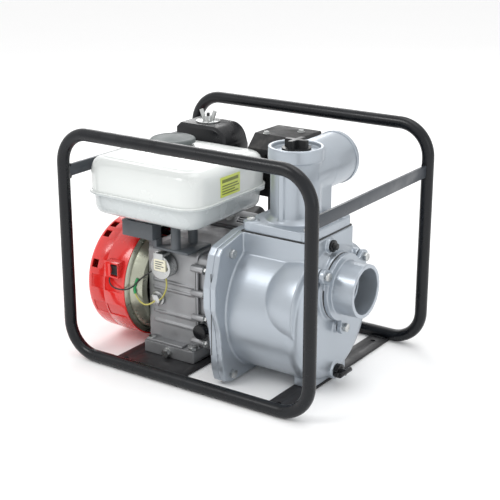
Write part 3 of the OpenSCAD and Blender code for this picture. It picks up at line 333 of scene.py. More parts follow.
def surface(name, color, rough=0.5, metallic=0.0, tint=0.08, patch=9.0, grain=900.0, bump=0.15,
            depth=0.0003, rough_range=0.12, coat=0.0, wear=None, stretch=None, sheen=0.0, dust=0.0,
            gleam=0.5):
    """Procedural finish: cloudy colour, uneven roughness, fine grain, and wear on raised edges."""
    mat = bpy.data.materials.new(name)
    mat.use_nodes = True
    nodes, links = mat.node_tree.nodes, mat.node_tree.links
    shader = nodes["Principled BSDF"]
    shader.inputs["Metallic"].default_value = metallic
    shader.inputs["Coat Weight"].default_value = coat
    shader.inputs["Coat Roughness"].default_value = 0.12
    shader.inputs["Sheen Weight"].default_value = sheen
    shader.inputs["Specular IOR Level"].default_value = gleam
    place = nodes.new("ShaderNodeTexCoord")
    mapping = nodes.new("ShaderNodeMapping")
    mapping.inputs["Scale"].default_value = stretch or (1, 1, 1)
    links.new(place.outputs["Object"], mapping.inputs["Vector"])

    def noise(scale, detail=4.0, roughness=0.55):
        tex = nodes.new("ShaderNodeTexNoise")
        tex.inputs["Scale"].default_value = scale
        tex.inputs["Detail"].default_value = detail
        tex.inputs["Roughness"].default_value = roughness
        links.new(mapping.outputs["Vector"], tex.inputs["Vector"])
        return tex.outputs["Fac"]

    def mix(fac, a, b):
        node = nodes.new("ShaderNodeMix")
        node.data_type = 'RGBA'
        links.new(fac, node.inputs["Factor"])
        for socket, value in (("A", a), ("B", b)):
            target = [s for s in node.inputs if s.name == socket and s.type == 'RGBA'][0]
            if isinstance(value, tuple):
                target.default_value = (*value, 1)
            else:
                links.new(value, target)
        return [s for s in node.outputs if s.type == 'RGBA'][0]

    def ramp(fac, low, high, to_low=0.0, to_high=1.0):
        node = nodes.new("ShaderNodeMapRange")
        node.inputs["From Min"].default_value = low
        node.inputs["From Max"].default_value = high
        node.inputs["To Min"].default_value = to_low
        node.inputs["To Max"].default_value = to_high
        links.new(fac, node.inputs["Value"])
        return node.outputs["Result"]

    dark = tuple(c * (1 - tint) for c in color)
    light = tuple(min(1, c * (1 + tint)) for c in color)
    out = mix(ramp(noise(patch), 0.35, 0.65), dark, light)
    if dust:
        geo = nodes.new("ShaderNodeNewGeometry")
        split = nodes.new("ShaderNodeSeparateXYZ")
        links.new(geo.outputs["Normal"], split.inputs["Vector"])
        up = ramp(split.outputs["Z"], 0.3, 1.0, 0.0, dust)
        out = mix(up, out, tuple(0.5 * c + 0.25 for c in color))
    if wear:
        geo = nodes.new("ShaderNodeNewGeometry")
        edge = ramp(geo.outputs["Pointiness"], 0.60, 0.72)
        spots = ramp(noise(70, 6), 0.45, 0.65)
        product = nodes.new("ShaderNodeMath")
        product.operation = 'MULTIPLY'
        links.new(edge, product.inputs[0])
        links.new(spots, product.inputs[1])
        out = mix(product.outputs["Value"], out, wear)
    links.new(out, shader.inputs["Base Color"])
    smoothest, roughest = max(0.03, rough - rough_range), min(1, rough + rough_range)
    links.new(ramp(noise(patch * 4, 5), 0.3, 0.7, smoothest, roughest), shader.inputs["Roughness"])
    if bump:
        node = nodes.new("ShaderNodeBump")
        node.inputs["Strength"].default_value = bump
        node.inputs["Distance"].default_value = depth
        links.new(noise(grain, 3), node.inputs["Height"])
        links.new(node.outputs["Normal"], shader.inputs["Normal"])
    MATERIALS[name] = mat
    return mat


surface("frame_paint", (0.004, 0.005, 0.007), 0.30, tint=0.2, grain=260, bump=0.15, depth=0.0002,
        gleam=0.34)
surface("bar_gray", (0.035, 0.042, 0.052), 0.38, tint=0.1, grain=300, bump=0.2, coat=0.2,
        wear=(0.3, 0.3, 0.3))
surface("plate_black", (0.010, 0.010, 0.012), 0.45, gleam=0.3, tint=0.2, grain=350, bump=0.25,
        wear=(0.12, 0.12, 0.12), dust=0.08)
surface("engine_cast", (0.33, 0.335, 0.345), 0.45, metallic=0.7, tint=0.10, patch=22, grain=1100,
        bump=0.5, depth=0.0003, rough_range=0.06)
surface("pump_paint", (0.40, 0.44, 0.485), 0.33, metallic=0.6, tint=0.02, patch=10, grain=1500,
        bump=0.22, depth=0.0002, coat=0.1, rough_range=0.035)
surface("red_enamel", (0.74, 0.022, 0.018), 0.24, tint=0.04, patch=7, grain=420, bump=0.12, coat=0.6,
        wear=(0.42, 0.02, 0.02))
# painted shade: tank_lower is the tank's own white enamel made grayer, standing in for the shade on the lower
# shell under the flange
surface("tank_lower", (0.54, 0.575, 0.58), 0.24, tint=0.03, patch=6, grain=300, bump=0.06, coat=0.4)
surface("tank_enamel", (0.70, 0.725, 0.71), 0.18, tint=0.02, patch=6, grain=300, bump=0.08, coat=0.5,
        wear=(0.65, 0.67, 0.64))
surface("cap_gray", (0.115, 0.13, 0.13), 0.55, gleam=0.25, tint=0.08, grain=900, bump=0.3,
        wear=(0.5, 0.5, 0.5))
surface("black_sheet", (0.012, 0.012, 0.013), 0.5, gleam=0.3, tint=0.25, grain=1300, bump=0.4,
        depth=0.0003, dust=0.04, wear=(0.09, 0.085, 0.08))
surface("muffler_paint", (0.05, 0.048, 0.046), 0.6, metallic=0.3, tint=0.3, patch=30, grain=900, bump=0.5)
surface("black_moulding", (0.007, 0.0075, 0.009), 0.30, gleam=0.35, tint=0.12, grain=1600, bump=0.25,
        depth=0.0002, wear=(0.07, 0.07, 0.075))
surface("zinc", (0.50, 0.51, 0.505), 0.30, metallic=1.0, tint=0.04, patch=60, grain=1500, bump=0.12,
        rough_range=0.05)
surface("zinc_yellow", (0.45, 0.46, 0.37), 0.30, metallic=0.85, tint=0.08, patch=18, grain=900,
        bump=0.08, rough_range=0.05)
surface("bracket_gray", (0.085, 0.095, 0.105), 0.45, tint=0.12, grain=700, bump=0.3, wear=(0.4, 0.4, 0.4))
surface("ground_steel", (0.52, 0.53, 0.55), 0.25, metallic=1.0, tint=0.06, patch=40, grain=1200,
        bump=0.25, stretch=(8, 1, 1))
surface("machined", (0.72, 0.73, 0.74), 0.28, metallic=1.0, tint=0.05, patch=40, grain=1500, bump=0.25)
surface("iron", (0.19, 0.195, 0.20), 0.62, metallic=0.6, tint=0.2, patch=30, grain=700, bump=0.8,
        depth=0.0005, wear=(0.35, 0.35, 0.34))
surface("oiled_steel", (0.17, 0.175, 0.185), 0.3, metallic=0.9, tint=0.15, grain=900, bump=0.2)
surface("nylon", (0.72, 0.70, 0.62), 0.42, tint=0.06, grain=900, bump=0.2, sheen=0.1)
surface("rubber", (0.022, 0.022, 0.022), 0.72, tint=0.2, grain=1800, bump=0.6, sheen=0.25)
surface("carbon", (0.05, 0.05, 0.055), 0.35, tint=0.15, grain=1200, bump=0.3)
surface("filter_paper", (0.66, 0.54, 0.26), 0.85, tint=0.1, grain=2200, bump=0.7, sheen=0.2)
surface("rope_fibre", (0.045, 0.045, 0.05), 0.85, tint=0.3, patch=400, grain=2600, bump=0.9, sheen=0.4)
surface("ceramic", (0.83, 0.83, 0.80), 0.15, tint=0.03, grain=400, bump=0.05, coat=0.4)
surface("lead_yellow", (0.50, 0.46, 0.12), 0.42, tint=0.15, grain=900, bump=0.2)
surface("lead_green", (0.02, 0.30, 0.09), 0.42, tint=0.15, grain=900, bump=0.2)
surface("lead_black", (0.02, 0.02, 0.02), 0.5, tint=0.15, grain=900, bump=0.2)
surface("label_lime", (0.62, 0.70, 0.10), 0.33, tint=0.04, grain=700, bump=0.08, coat=0.3)
surface("label_ink", (0.20, 0.23, 0.05), 0.4, tint=0.1, grain=700, bump=0.08)
surface("label_yellow", (0.80, 0.72, 0.16), 0.35, tint=0.04, grain=700, bump=0.08, coat=0.3)
surface("label_cream", (0.74, 0.71, 0.55), 0.4, tint=0.05, grain=700, bump=0.08)

SLOT_LOOKS = {
    "frame_black": "frame_paint", "crossbar_gray": "bar_gray", "plate_black": "plate_black",
    "engine_alu": "engine_cast", "pump_alu": "pump_paint", "red_cover": "red_enamel",
    "black_steel": "black_sheet", "muffler_steel": "muffler_paint", "black_plastic": "black_moulding",
    "tank_white": "tank_enamel", "cap_gray": "cap_gray", "zinc": "zinc", "zinc_yellow": "zinc_yellow",
    "bracket_gray": "bracket_gray", "steel": "ground_steel", "bare_alu": "machined", "cast_iron": "iron",
    "dark_steel": "oiled_steel", "pulley_nylon": "nylon", "rubber": "rubber", "seal_carbon": "carbon",
    "filter_foam": "filter_paper", "rope": "rope_fibre", "ceramic": "ceramic", "lead_cover": "lead_yellow"}


def paint(obj, look):
    obj.data.materials.clear()
    obj.data.materials.append(MATERIALS[look])


def shade(obj, angle=40):
    obj.data.shade_smooth()
    if angle:
        obj.data.set_sharp_from_angle(angle=math.radians(angle))


def piece(obj, name, body, slot, look=None, replaces=(), angle=40):
    """Names, shades, paints and attaches a finished piece."""
    obj.name = name
    shade(obj, angle)
    paint(obj, look or SLOT_LOOKS[slot])
    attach(obj, body)
    if replaces:
        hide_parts(*replaces)
    return obj


# ---- camera and stage ------------------------------------------------------------------------

VIEW_AZIMUTH = 34.501
VIEW_ELEVATION = 18.104
VIEW_DISTANCE = 2.0965
VIEW_LENS = 87.55
FLOOR = 9000


def build_camera():
    data = bpy.data.cameras.new("camera")
    data.sensor_width = 36
    data.lens = VIEW_LENS
    data.shift_x = 0.0058
    data.shift_y = -0.0204
    camera = bpy.data.objects.new("camera", data)
    az, el = math.radians(VIEW_AZIMUTH), math.radians(VIEW_ELEVATION)
    aim = Vector((0, 0, (cad_box[0][2] + cad_box[1][2]) / 2))
    camera.location = aim + VIEW_DISTANCE * Vector((math.sin(az) * math.cos(el), -math.cos(az) * math.cos(el),
                                                    math.sin(el)))
    camera.rotation_euler = (math.pi / 2 - el, 0, az)
    SCENE.collection.objects.link(camera)
    SCENE.camera = camera


def area_light(name, place, size, power, aim=(0, 0, 0.2), color=(1, 1, 1)):
    data = bpy.data.lights.new(name, 'AREA')
    data.shape = 'RECTANGLE'
    data.size, data.size_y = size
    data.energy = power
    data.color = color
    light = bpy.data.objects.new(name, data)
    light.location = place
    light.rotation_euler = (Vector(aim) - Vector(place)).to_track_quat('-Z', 'Y').to_euler()
    SCENE.collection.objects.link(light)


def build_stage():
    SCENE.view_settings.view_transform = 'Standard'
    world = bpy.data.worlds.new("studio")
    SCENE.world = world
    world.use_nodes = True
    background = world.node_tree.nodes["Background"]
    background.inputs["Color"].default_value = (1, 1, 1, 1)
    background.inputs["Strength"].default_value = 0.98
    corners = [(-FLOOR, -FLOOR, 0), (FLOOR, -FLOOR, 0), (FLOOR, FLOOR, 0), (-FLOOR, FLOOR, 0)]
    floor = object_from(mesh_of(corners, [(0, 1, 2, 3)]), "floor")
    surface("floor_white", (0.95, 0.95, 0.95), 0.85, tint=0.003, patch=1.0, grain=40, bump=0.02)
    paint(floor, "floor_white")
    area_light("key", (-0.9, -1.9, 2.3), (1.1, 0.9), 22)
    area_light("fill", (2.4, -0.7, 1.1), (1.6, 1.8), 7, color=(0.93, 0.97, 1.0))
    area_light("top", (0.2, 0.4, 2.6), (1.8, 1.4), 15)
    area_light("rim", (-1.6, 1.9, 1.5), (1.2, 1.4), 14)


build_camera()
build_stage()


# ---- pieces taken from the CAD nodes ---------------------------------------------------------

SLOTS = {part["node"]: part["material_slot"] for part in frame["record"]["subparts"]}
BODIES = {node: body for body, nodes in frame["record"]["behaviour"]["bodies"].items() for node in nodes}


def from_cad(node):
    """A loose copy of a CAD node's mesh, welded and with its flat faces made whole."""
    bm = bmesh.new()
    bm.from_mesh(frame["nodes"][node].data)
    bmesh.ops.remove_doubles(bm, verts=bm.verts[:], dist=1e-6)
    bmesh.ops.dissolve_limit(bm, angle_limit=math.radians(0.5), verts=bm.verts[:], edges=bm.edges[:])
    mesh = bpy.data.meshes.new(node + "_copy")
    bm.to_mesh(mesh)
    bm.free()
    if "custom_normal" in mesh.attributes:
        mesh.attributes.remove(mesh.attributes["custom_normal"])
    obj = bpy.data.objects.new(node + "_copy", mesh)
    SCENE.collection.objects.link(obj)
    return obj


def edged(obj, width, segments=2, sharper_than=30):
    """Rounds the sharp edges of an object by a width in millimetres."""
    mod = obj.modifiers.new("edges", 'BEVEL')
    mod.width = width * MM
    mod.segments = segments
    mod.limit_method = 'ANGLE'
    mod.angle_limit = math.radians(sharper_than)
    mod.use_clamp_overlap = True
    mod.miter_outer = 'MITER_ARC'
    return bake_modifiers(obj)


def finish(obj, node, look=None, name=None, angle=40, also=()):
    """A finished piece that stands for a CAD node, on its body and in its material slot."""
    return piece(obj, name or node + "_finish", BODIES[node], SLOTS[node], look, (node, *also), angle)


def loft(sections, name="loft"):
    """Closed form through outlines of equal point counts; each is a list of X, Y, Z points."""
    bm = bmesh.new()
    rings = [[bm.verts.new(p) for p in section] for section in sections]
    n = len(rings[0])
    for low, high in zip(rings, rings[1:]):
        for k in range(n):
            bm.faces.new((low[k], low[(k + 1) % n], high[(k + 1) % n], high[k]))
    bm.faces.new(rings[0])
    bm.faces.new(rings[-1])
    return object_from(bm, name)


def sector(x, r, angles, name="sector", steps=10):
    """Curved slab about the drum's axis; angles run from the near side, upward positive, in degrees."""
    turns = [math.radians(180 - a) for a in np.linspace(angles[0], angles[1], steps)]
    outline = [(drum_y + r[1] * math.cos(t), drum_z + r[1] * math.sin(t)) for t in turns]
    outline += [(drum_y + r[0] * math.cos(t), drum_z + r[0] * math.sin(t)) for t in reversed(turns)]
    return prism("x", outline, x[0], x[1], name=name)


# ---- frame -----------------------------------------------------------------------------------

BEAD_R = 2.6


def weld_bead(path, name="bead"):
    """Rippled weld along a path."""
    points = smooth_path(path, 8)
    radii = [BEAD_R * (1 + 0.16 * math.sin(2.1 * k)) for k in range(len(points))]
    return sweep(points, radii, name, sides=8)


def build_frame():
    for side in ("near", "far"):
        finish(from_cad("frame_loop_" + side), "frame_loop_" + side, angle=50)
    bars = edged(from_cad("crossbars"), 1.0)
    x0, x1 = ext("crossbars")[0]
    finish(bars, "crossbars")
    near0, near1 = ext("frame_loop_near")[1]
    tube = near1 - near0
    beads = []
    for end, x in ((-1, x0), (1, x1)):
        z0, z1 = bar_heights[end]
        for side in (-1, 1):
            y = side * (abs(near0) - tube - 0.6)
            for z in (z0, z1):
                beads.append(weld_bead([(x - end * 1.0 - end * 5 * t, y, z) for t in (0, 0.5, 1, 1.5)]))
    piece(joined(beads, "beads"), "crossbar_welds", "base", "frame_black")
    for node, name in (("engine_base_plate", "engine_plate_welds"), ("pump_base_plate", "pump_plate_welds")):
        (px0, px1), _, (_, pz1) = ext(node)
        finish(edged(from_cad(node), 0.8), node)
        stitches = []
        for side in (-1, 1):
            y = side * (abs(near1) - 1.5)
            for start in np.linspace(px0 + 8, px1 - 22, 3):
                stitches.append(weld_bead([(start + t, y, pz1 + 0.3) for t in (0, 5, 10, 15)]))
        piece(joined(stitches, name), name, "base", "frame_black")


def bar_heights_from_cad():
    """Height range of each crossbar, by the end of the frame it stands at."""
    points = np.array([v.co for v in frame["nodes"]["crossbars"].data.vertices]) / MM
    return {end: (points[points[:, 0] * end > 0][:, 2].min(), points[points[:, 0] * end > 0][:, 2].max())
            for end in (-1, 1)}


# ---- tank ------------------------------------------------------------------------------------

TANK_R = 38
TANK_WALL = 3
FILLER_R = 25
STICKER_X, STICKER_Y = (-215, -191), (-10, 20)
COLLAR = 4
FLANGE_OUT = 4
# how far the upper shell draws in, and how far below its top, from the seam up to the flat
TANK_TOP = [(0, 61), (-0.6, 45), (-0.4, 30), (0.4, 22), (2.2, 15), (5.2, 9.5), (9.5, 5.6), (15, 3.4),
            (19, 3.0), (21.5, 2.2), (25, 0.9), (31, 0.2), (40, 0)]
# the same for the lower shell, from the seam down to its flat bottom
TANK_BOTTOM = [(4, 0), (4.6, 12), (5.4, 24), (7, 31), (10.5, 36), (16, 39), (24, 40)]


def tank_section(inset, z, extra=0.0):
    (x0, x1), (y0, y1) = tank_x, tank_y
    i = inset + extra
    return [(x, y, z) for x, y in rounded_rect((x0 + i, x1 - i), (y0 + i, y1 - i), max(6, TANK_R - i), 9)]


def build_tank():
    seam = ext("fuel_tank_upper")[2][0]
    top = ext("fuel_tank_upper")[2][1] - COLLAR
    bottom = ext("fuel_tank_lower")[2][0]
    cap_x, cap_y = joint_at("fuel_cap_turn")[:2]
    rows = [(i, max(seam, top - d)) for i, d in TANK_TOP]
    shell = loft([tank_section(i, z) for i, z in rows])
    inside = [(0, seam - 1)] + [(i, z - TANK_WALL) for i, z in rows[1:]]
    inner = loft([tank_section(i, z, TANK_WALL) for i, z in inside])
    flange = prism("z", [p[:2] for p in tank_section(-FLANGE_OUT, 0)], seam, seam + 2.5, 0.9)
    flange = carve(flange, [prism("z", [p[:2] for p in tank_section(1.5, 0)], seam - 1, seam + 4)])
    collar = rod("z", top - 6, top + COLLAR, FILLER_R + 4, cap_x, cap_y, 1.0)
    body = fused([shell, collar], [inner, rod("z", top - 20, top + 8, FILLER_R, cap_x, cap_y)])
    finish(joined([body, flange], "tank"), "fuel_tank_upper", angle=32)

    rows = [(i, max(bottom, seam - d)) for i, d in TANK_BOTTOM]
    rows[-1] = (rows[-1][0], bottom)
    lower = loft([tank_section(i, z) for i, z in rows])
    inner = loft([tank_section(i, z + (TANK_WALL if z < seam else 1), TANK_WALL) for i, z in rows])
    carve(lower, [inner])
    rim = prism("z", [p[:2] for p in tank_section(-FLANGE_OUT, 0)], seam - 2.5, seam, 0.9)
    rim = carve(rim, [prism("z", [p[:2] for p in tank_section(4.5, 0)], seam - 4, seam + 1)])
    lug_x, lug_y = tank_x[1] + 1, tank_y[1] - 42
    lug_outline = rounded_rect((lug_x - 8, lug_x + 9), (lug_y - 11, lug_y + 11), 7)
    lug = prism("z", lug_outline, seam - 2.4, seam + 2.4, 0.8)
    # the lower shell gets the grayer tank_lower look, which is painted shade on the same white enamel as the
    # upper shell
    finish(joined([lower, rim, lug], "tank"), "fuel_tank_lower", "tank_lower", angle=32)

    # label and sticker, lying on the shell with their printed bars as raised strips
    face = tank_x[1] + 0.35
    label = prism("x", rounded_rect((-88, -32), (seam + 7, seam + 41), 1.5), face, face + 0.35)
    piece(label, "tank_label", "base", "tank_white", "label_lime")
    bars = [box((face + 0.3, face + 0.55), (-83, -83 + w), (seam + z, seam + z + t)) for w, z, t in
            ((46, 31, 5.5), (44, 24.5, 2.2), (48, 20, 2.2), (36, 15.5, 2.2), (46, 11, 2.2))]
    piece(joined(bars, "bars"), "tank_label_bars", "base", "tank_white", "label_ink")
    sticker = on_tank_top(STICKER_X, STICKER_Y, top, 0.05, 0.4)
    piece(sticker, "tank_sticker", "base", "tank_white", "label_yellow")
    marks = [on_tank_top((x, x + 5), (-6, 16), top, 0.3, 0.6) for x in (-211, -203)]
    piece(joined(marks, "marks"), "tank_sticker_marks", "base", "tank_white", "label_ink")


def on_tank_top(x, y, top, low, high):
    """Thin patch that follows the upper shell's rounded edge, between two heights above it."""
    insets, drops = zip(*TANK_TOP[3:])
    places = np.linspace(x[0], x[1], 8)
    skin = [top - np.interp(place - tank_x[0], insets, drops) for place in places]
    outline = [(u, v + high) for u, v in zip(places, skin)]
    outline += [(u, v + low) for u, v in reversed(list(zip(places, skin)))]
    return prism("y", outline, y[0], y[1])


def build_cap():
    (x0, x1), _, (z0, z1) = ext("fuel_cap")
    cap_x, cap_y = joint_at("fuel_cap_turn")[:2]
    r = (x1 - x0) / 2
    profile = [(0, z0), (FILLER_R - 1.5, z0), (FILLER_R - 0.3, z0 + 1.5), (FILLER_R - 0.3, z1 - 9.8),
               (r - 1.2, z1 - 9.8), (r, z1 - 8.8), (r, z1 - 4.2), (r - 0.6, z1 - 2.4), (r - 3.4, z1 - 1.2),
               (r - 6, z1 - 1.4),
               (r - 7.5, z1 - 2.0), (r - 12, z1 - 1.8), (14, z1 - 0.2), (6, z1), (0, z1)]
    cap = lathe("z", cap_x, cap_y, profile, sides=96)
    ribs = []
    for k in range(36):
        a = 2 * math.pi * k / 36
        x, y = cap_x + (r - 0.4) * math.cos(a), cap_y + (r - 0.4) * math.sin(a)
        ribs.append(rod("z", z1 - 8.6, z1 - 3.2, 1.1, x, y, 0.4, sides=8))
    finish(joined([cap] + ribs, "cap"), "fuel_cap", angle=35)


# ---- red covers and switch -------------------------------------------------------------------

def build_covers():
    back = ext("fan_housing")[0]
    front = ext("recoil_cover")[0]
    r = drum_r
    housing = edged(from_cad("fan_housing"), 0.7)
    carve(housing, [sector((back[0] + 3, back[1] - 5), (r - 1.3, r + 4), a) for a in GROOVES])
    finish(housing, "fan_housing", angle=35)

    f, back_edge, wall, out = front[0], front[1], 2.5, r - 1
    turn = [math.radians(a) for a in range(0, 91, 10)]
    outer = [(out - EDGE_R + EDGE_R * math.sin(t), f + EDGE_R - EDGE_R * math.cos(t)) for t in turn]
    inner_r = EDGE_R - wall
    inner = [(out - EDGE_R + inner_r * math.sin(t), f + EDGE_R - inner_r * math.cos(t))
             for t in reversed(turn)]
    profile = [(0, f)] + outer + [(out, back_edge), (out - wall, back_edge)] + inner + [(0, f + wall)]
    cover = lathe("x", drum_y, drum_z, profile, sides=144)
    rope = ext("recoil_rope")
    cuts = [sector((f + 14, back_edge + 3), (out - 1.2, r + 4), a) for a in GROOVES]
    cuts += [sector((f + 11, f + 24), (out - 8, r + 4), (a - 4, a + 4)) for a in RIM_SLOTS]
    cuts.append(rod("y", 30, 90, 4.5, (rope[0][0] + rope[0][1]) / 2, (rope[2][0] + rope[2][1]) / 2))
    for k in range(8):
        c, s = math.cos(math.radians(45 * k)), math.sin(math.radians(45 * k))
        slot = rounded_rect((34, 62), (-4, 4), 3.5)
        outline = [(drum_y + a * c - b * s, drum_z + a * s + b * c) for a, b in slot]
        cuts.append(prism("x", outline, f - 1, f + 6))
    carve(cover, cuts)
    edged(cover, 0.5)
    hub = [rod("x", f + 1, -222, 6, crank_y, crank_z), rod("x", f + 1, -240, 14, crank_y, crank_z)]
    finish(joined([cover] + hub, "cover"), "recoil_cover", angle=35)

    # raised ring and hub ring on the starter's face, with its four screws
    wide = [(88, f + 0.4), (90, f + 0.01), (93, f + 0.01), (95, f + 0.4), (95, f + 1.5), (88, f + 1.5)]
    narrow = [(24, f + 0.9), (26, f + 0.1), (31, f + 0.1), (33, f + 0.9), (33, f + 2), (24, f + 2)]
    rings = [lathe("x", drum_y, drum_z, wide, sides=96), lathe("x", drum_y, drum_z, narrow, sides=72)]
    piece(joined(rings, "rings"), "starter_face_rings", "base", "red_cover")
    screw = [(0, f + 0.05), (2.2, f + 0.05), (4.6, f + 0.9), (5.2, f + 2.2), (0, f + 2.2)]
    screws = []
    for k in range(4):
        a = math.radians(45 + 90 * k)
        y, z = drum_y + STARTER_SCREW_R * math.cos(a), drum_z + STARTER_SCREW_R * math.sin(a)
        screws.append(lathe("x", y, z, screw, sides=24))
    piece(joined(screws, "screws"), "starter_screws", "base", "zinc")

    finish(edged(from_cad("switch_housing"), 1.2), "switch_housing")
    finish(edged(from_cad("switch_rocker"), 0.4), "switch_rocker")


# ---- engine ----------------------------------------------------------------------------------

# bevel width, in millimetres, of each node whose piece is its own mesh with rounded edges
EDGE_WIDTHS = {
    "cylinder_head": 0.7, "rocker_cover": 2.0, "tank_brackets": 1.6, "side_shroud": 0.5, "oil_dipstick": 1.4,
    "plug_cap": 1.5, "ignition_coil": 1.2, "carburetor": 1.0, "air_cleaner_base": 1.0, "muffler": 1.2,
    "air_cleaner_cover": 1.2, "air_filter": 0.8, "choke_lever": 0.8, "fuel_lever": 0.8,
    "throttle_lever": 0.5, "air_cleaner_nut": 0.7, "recoil_grip": 0.8, "recoil_pulley": 0.5, "flywheel": 0.6,
    "starter_cup": 0.5, "piston": 0.3, "connecting_rod": 0.8, "volute": 0.8, "seal_seat": 0.5, "valves": 0.4,
    "spark_plug": 0.5, "oil_plugs": 0.8, "check_flap": 0.5, "gaskets": 0.2, "main_bearings": 0.5,
    "bolts": 0.5, "vent_plug": 0.8, "drain_plug": 1.2, "priming_plug": 1.6}


def build_engine():
    cover = ext("side_cover")
    finish(cast([from_cad("crankcase")], voxel=1.2, smooth=2, keep=0.35), "crankcase", angle=50)
    finish(cast([from_cad("side_cover")], voxel=1.2, smooth=3, keep=0.35), "side_cover", angle=50)

    # joint flange of the side cover with its bosses and bolts, on the side the photo shows and its mirror
    joint_x, near = cover[0][0] + 1, cover[1][0]
    bosses, bolts = [], []
    for z in (45, 88, 132, 176):
        bosses.append(rod("x", joint_x - 9, joint_x + 17, 6.5, near - 1.5, z, 1.5))
        bolts.append(hex_head("x", joint_x + 17, 5, 10, near - 1.5, z, washer=1))
        bosses.append(rod("x", joint_x - 9, joint_x + 17, 6.5, cover[1][1] + 0.5, z, 1.5))
        bolts.append(hex_head("x", joint_x + 17, 5, 10, cover[1][1] + 0.5, z, washer=1))
    low, high = cover[2]
    lip = [box((joint_x - 4, joint_x + 4), (near - 3.2, near + 2), (low + 16, high - 16), 1.2)]
    piece(joined(bosses + lip, "bosses"), "side_cover_bosses", "base", "engine_alu")
    piece(joined(bolts, "bolts"), "side_cover_bolts", "base", "zinc")
    seam = box((joint_x - 0.6, joint_x + 0.6), (near - 3.6, near - 2.4), (low + 17, high - 17), 0.2)
    piece(seam, "side_cover_gasket", "base", "rubber")

    foot_y = ext("oil_plugs")[1][0] + 9
    ribs = [box((-138, -60), (foot_y + 1.5, foot_y + 22), (27, 31), 1.2),
            prism("z", [(-60, foot_y + 0.5), (-38, foot_y + 0.5), (-38, foot_y + 22), (-60, foot_y + 22)],
                  8, 26.5, 1.5)]
    piece(joined(ribs, "ribs"), "foot_ribs", "base", "engine_alu")

    for node, width in EDGE_WIDTHS.items():
        finish(edged(from_cad(node), width), node, angle=35)
    # plain copies: a bevel changed the surface area of the impeller, the guard and the spring, and the
    # two shafts are left sharp with them
    for node in ("impeller", "muffler_guard", "recoil_spring", "crankshaft", "camshaft"):
        finish(from_cad(node), node, angle=30)
    # rim of the back plate, closing it against the fan housing
    back = ext("fan_housing")[0][1]
    rim_profile = [(95.5, back - 2.6), (drum_r - 2.7, back - 2.6), (drum_r - 2.7, back - 0.8),
                   (drum_r - 4, back + 0.6), (96.5, back + 3.6), (94.5, back + 3.0)]
    rim = lathe("x", drum_y, drum_z, rim_profile, sides=128)
    piece(rim, "back_plate_rim", "base", "zinc_yellow")
    capsule_bits()


def capsule_bits():
    """Oil alert unit with its cream label."""
    (x0, x1), (y0, _), (z0, _) = ext("oil_alert_unit")
    finish(edged(from_cad("oil_alert_unit"), 2.2, 3), "oil_alert_unit", angle=35)
    cx = (x0 + x1) / 2
    label = prism("y", rounded_rect((cx - 12, cx + 13), (z0 + 15, z0 + 36), 3), y0 - 0.5, y0 + 3.4, 0.3)
    piece(label, "alert_label", "base", "zinc", "label_cream")
    ink = [box((cx - 9, cx - 9 + w), (y0 - 0.8, y0 - 0.4), (z0 + z, z0 + z + 1.6))
           for w, z in ((18, 31), (14, 27), (18, 23), (12, 19))]
    piece(joined(ink, "ink"), "alert_label_bars", "base", "zinc", "bracket_gray")


def build_leads():
    """Leads from the switch and the level sensor to the alert unit, and the plug lead."""
    near = ext("oil_alert_unit")[1][0]
    switch_bottom = ext("switch_housing")[2][0]
    nut_x, nut_z = level_nut
    yellow = [[(nut_x + 10, near + 12, nut_z + 2), (nut_x + 22, near + 6, nut_z + 12),
               (nut_x + 31, near + 5, nut_z + 30), (nut_x + 30, near + 6, nut_z + 46),
               (nut_x + 24, near + 8, nut_z + 56)],
              [(nut_x, near + 11.4, nut_z - 2), (-126, -113, 97), (-134, -117, 95), (-141, -120, 99),
               (-147, -122, 106), (-151, -123, 114)]]
    green = [[(-151, -123, 114), (-153, -122, 122), (-152, -119.5, 131), (-149, -118, 140)]]
    black = [[(-196, -136, switch_bottom - 1.7), (-195, -139, 132), (-189, -141, 126), (-180, -141, 123),
              (-170, -139, 122), (-160, -134, 123), (-152, -127, 128), (-146, -121, 136), (-138, -115, 145),
              (-130, -110, 152), (-123, -108, 158)]]
    spark = [[(-170, -12, 202), (-160, -6, 207), (-146, 4, 212), (-130, 20, 215), (-114, 38, 221),
              (-104, 49, 232), (-97, 56, 244), (-93, 63, 249.5), (-92, 70, 250)]]
    kinds = (("leads_yellow", "lead_yellow", yellow, 1.5), ("leads_green", "lead_green", green, 2.6),
             ("leads_black", "lead_black", black, 1.3), ("plug_lead", "lead_black", spark, 3.2))
    for name, look, routes, r in kinds:
        tubes = joined([sweep(smooth_path(route, 6), r, sides=12) for route in routes], name)
        piece(tubes, name, "base", SLOTS["leads"], look, ("leads",) if name == "leads_yellow" else ())


# ---- muffler guard and air cleaner details ----------------------------------------------------

def build_top_details():
    (gx0, gx1), (gy0, gy1), (_, gz1) = ext("muffler_guard")
    screws = []
    for x, y in ((gx0 + 22, gy0 + 22 + 4), (gx1 - 24, gy1 - 30)):
        screws.append(rod("z", gz1, gz1 + 1.0, 6.5, x, y, 0.4, sides=32))
        screws.append(hex_head("z", gz1 + 1.0, 3.6, 9, x, y))
    piece(joined(screws, "screws"), "guard_screws", "base", "zinc")
    (cx0, cx1), (cy0, cy1), (cz0, _) = ext("air_cleaner_cover")
    outline = rounded_rect((cx0 - 1.2, cx1 + 1.2), (cy0 - 1.2, cy1 + 1.2), 10)
    inside = rounded_rect((cx0 + 2, cx1 - 2), (cy0 + 2, cy1 - 2), 8)
    rim = carve(prism("z", outline, cz0 + 0.5, cz0 + 5, 1.2), [prism("z", inside, cz0 - 1, cz0 + 7)])
    piece(rim, "cleaner_rim", "base", "black_plastic")


# ---- pump ------------------------------------------------------------------------------------

BARREL_R = 117
BARREL_Z = 125
CASING_WALL = 7
BULGE_AT = (185, -30, 150)
BULGE_R = (125, 124, 92)
ELBOW_BOLT_X = (66, 174)
ELBOW_BOLT_OUT = 54


